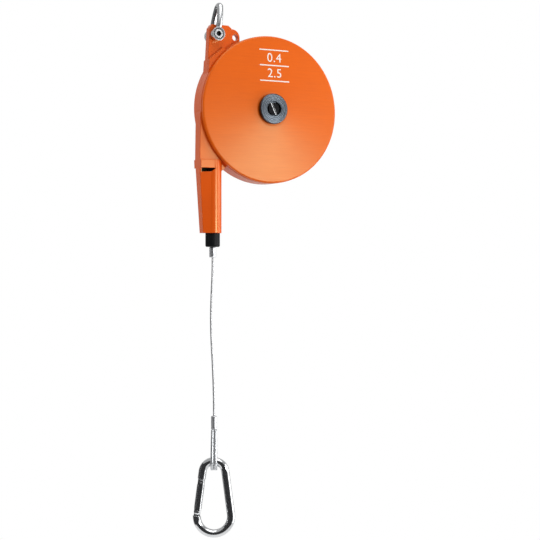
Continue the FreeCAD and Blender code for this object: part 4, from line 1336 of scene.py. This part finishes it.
@dataclass
class Studio:
    """A pale floor and backdrop, soft lamps, dark cards beside the camera, and the camera.

    The camera sees the floor as white past the outer shadow reach, and inside the inner one
    its paper shows by shadow_share. Mirrors see white at the strength mirrored, and
    floor_mirrored more near the floor, which sets in and is full at the two heights of
    floor_fade above it.
    """

    look: Place = (0.432, 0.902, 0.0)
    target: Place = (0.044, -0.025, -0.2571)
    stand: Place = (-0.5086, -1.1787, -0.2571)
    yaw: float = math.radians(-25.6)
    lens: float = 86.87
    sensor: float = 36.0
    card_black: Colour = (0.05, 0.05, 0.052)
    card_steps: int = 33
    paper: float = 0.86
    mirrored: float = 0.15
    floor_mirrored: float = 0.40
    floor_fade: Span = (0.9, 0.1)
    fill: float = 0.40
    floor_z: float = -2.2
    floor_front: float = -3.2
    half_width: float = 3.4
    bend: float = 0.8
    bend_steps: int = 24
    side_steps: int = 5
    backdrop: float = 2.2
    back_height: float = 4.7
    shadow_reach: Span = (0.6, 2.0)
    shadow_share: float = 0.25

    def _place(
        self,
        right: np.ndarray | float,
        away: np.ndarray | float,
        height: np.ndarray | float,
    ) -> np.ndarray:
        """Turn distances in the camera's own directions into places.

        Args:
            right: Distances to the right.
            away: Distances away from the camera, past the origin.
            height: Heights above the origin.

        Returns:
            The places: each distance times its own direction, summed.
        """
        look = np.array(self.look)
        side = np.array([look[1], -look[0], 0.0])
        flat = np.multiply.outer(right, side) + np.multiply.outer(away, look)
        return flat + np.multiply.outer(height, RAISED)

    def camera(self) -> None:
        """Set up the level camera."""
        data = bpy.data.cameras.new("view")
        data.lens = self.lens
        data.sensor_width = self.sensor
        thing = bpy.data.objects.new("view", data)
        bpy.context.scene.collection.objects.link(thing)
        thing.location = self.stand
        thing.rotation_euler = (math.radians(90), 0.0, self.yaw)
        bpy.context.scene.camera = thing

    def sweep(self) -> None:
        """Make the floor that curves up into the backdrop: a profile carried sideways."""
        turn = np.linspace(0.0, np.pi / 2, self.bend_steps)
        curve = self.backdrop - self.bend * (1 - np.sin(turn))
        run = np.concatenate([[self.floor_front], curve, [self.backdrop]])
        rise = np.concatenate([[0.0], self.bend * (1 - np.cos(turn)), [self.back_height]])
        across = np.linspace(-self.half_width, self.half_width, self.side_steps)
        right, away = np.meshgrid(across, run)
        _, height = np.meshgrid(across, self.floor_z + rise)
        points = self._place(right, away, height)
        thing = grid_mesh("studio_floor", points, False, False)
        dress(thing, self._paper())

    def _paper(self) -> bpy.types.Material:
        """Make the floor's paper, which the camera and mirrors see as nearly white.

        Returns:
            The material.
        """
        sheet = NodeSheet("pale_floor")
        camera = sheet.node("ShaderNodeLightPath", output="Is Camera Ray")
        glossy = sheet.node("ShaderNodeLightPath", output="Is Glossy Ray")
        x, y, height = sheet.split(sheet.place())
        away = (x * x + y * y).root().stretched(*self.shadow_reach)
        low = height.stretched(*(self.floor_z + fade for fade in self.floor_fade))
        seen = camera * (away * self.shadow_share + (1 - self.shadow_share))
        seen = seen + glossy * (low * self.floor_mirrored + self.mirrored)
        tone = (self.paper, self.paper, self.paper, 1.0)
        paper = sheet.node("ShaderNodeBsdfDiffuse", None, {"Color": tone})
        white = sheet.node("ShaderNodeEmission", None, {"Color": WHITE, "Strength": 1.0})
        mixed = sheet.node("ShaderNodeMixShader", None, {0: seen, 1: paper, 2: white})
        sheet.node("ShaderNodeOutputMaterial", None, {"Surface": mixed})
        return sheet.owner

    def card(self, name: str, sweep: Span, reach: float, rise: Span) -> None:
        """Stand a curved dark card round the object that only its reflections see.

        Args:
            name: The card's name.
            sweep: Its first and last angles from the camera's side, in degrees to the right.
            reach: Its distance from the object.
            rise: Its lower and upper edges from the camera's level.
        """
        turn = np.radians(np.linspace(*sweep, self.card_steps))
        angle, height = np.meshgrid(turn, self.target[2] + np.array(rise))
        points = self._place(reach * np.sin(angle), -reach * np.cos(angle), height)
        thing = grid_mesh(name, points, False, False)
        sheet = NodeSheet(name)
        paper = sheet.node("ShaderNodeBsdfDiffuse", None, {"Color": (*self.card_black, 1.0)})
        sheet.node("ShaderNodeOutputMaterial", None, {"Surface": paper})
        dress(thing, sheet.owner)
        thing.visible_camera = False
        thing.visible_diffuse = False
        thing.visible_shadow = False

    def lamp(self, name: str, centre: Place, size: Span, watts: float) -> None:
        """Hang one soft rectangular lamp that faces the object.

        Args:
            name: The lamp's name.
            centre: Right of the origin, towards the camera, and up from its level.
            size: Its width and height.
            watts: Its power.
        """
        data = bpy.data.lights.new(name, "AREA")
        data.shape = "RECTANGLE"
        data.size, data.size_y = size
        data.energy = watts
        thing = bpy.data.objects.new(name, data)
        bpy.context.scene.collection.objects.link(thing)
        right, toward, up = centre
        middle = self._place(right, -toward, self.target[2] + up)
        aim = Vector(self.target) - Vector(middle)
        thing.location = middle
        thing.rotation_euler = aim.to_track_quat("-Z", "Y").to_euler()
        thing.visible_camera = False

    def world(self) -> None:
        """Fill in with a plain grey world that the camera sees as white."""
        sheet = NodeSheet("surroundings", Owner.WORLD)
        bpy.context.scene.world = sheet.owner
        seen = sheet.node("ShaderNodeLightPath", output="Is Camera Ray")
        dim = sheet.node("ShaderNodeBackground", None, {"Color": WHITE, "Strength": self.fill})
        white = sheet.node("ShaderNodeBackground", None, {"Color": WHITE, "Strength": 1.0})
        mixed = sheet.node("ShaderNodeMixShader", None, {0: seen, 1: dim, 2: white})
        sheet.node("ShaderNodeOutputWorld", None, {"Surface": mixed})

    def build(self) -> None:
        """Set the whole studio up."""
        bpy.context.scene.view_settings.view_transform = "Standard"
        self.camera()
        self.sweep()
        self.world()
        self.lamp("key_right", (1.08, 0.86, 0.02), (0.45, 0.30), 6.0)
        self.lamp("side_right", (1.35, -0.05, -0.1), (0.6, 1.6), 11.0)
        self.lamp("side_left", (-2.3, 0.6, 0.0), (1.5, 1.5), 15.0)
        self.lamp("top_soft", (0.3, 0.5, 1.4), (1.4, 1.4), 12.0)
        self.card("dark_front", (-125.0, 43.0), 1.9, (-1.4, 1.0))
        self.card("dark_low", (43.0, 56.0), 1.9, (-1.4, -0.22))
        LOG.info("studio: floor, lamps, cards and camera")


def main() -> None:
    """Build the studio and then the balancer, from the shackle down to the hook."""
    logging.basicConfig(level=logging.INFO, format="%(name)s %(message)s")
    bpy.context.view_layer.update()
    Studio().build()
    for group in (Shackle(), Housing(), Adjuster(), DrumWorks(), RopeOutlet(), Rope(), SnapHook()):
        group.build()
    bpy.context.view_layer.update()


if __name__ == "__main__":
    main()
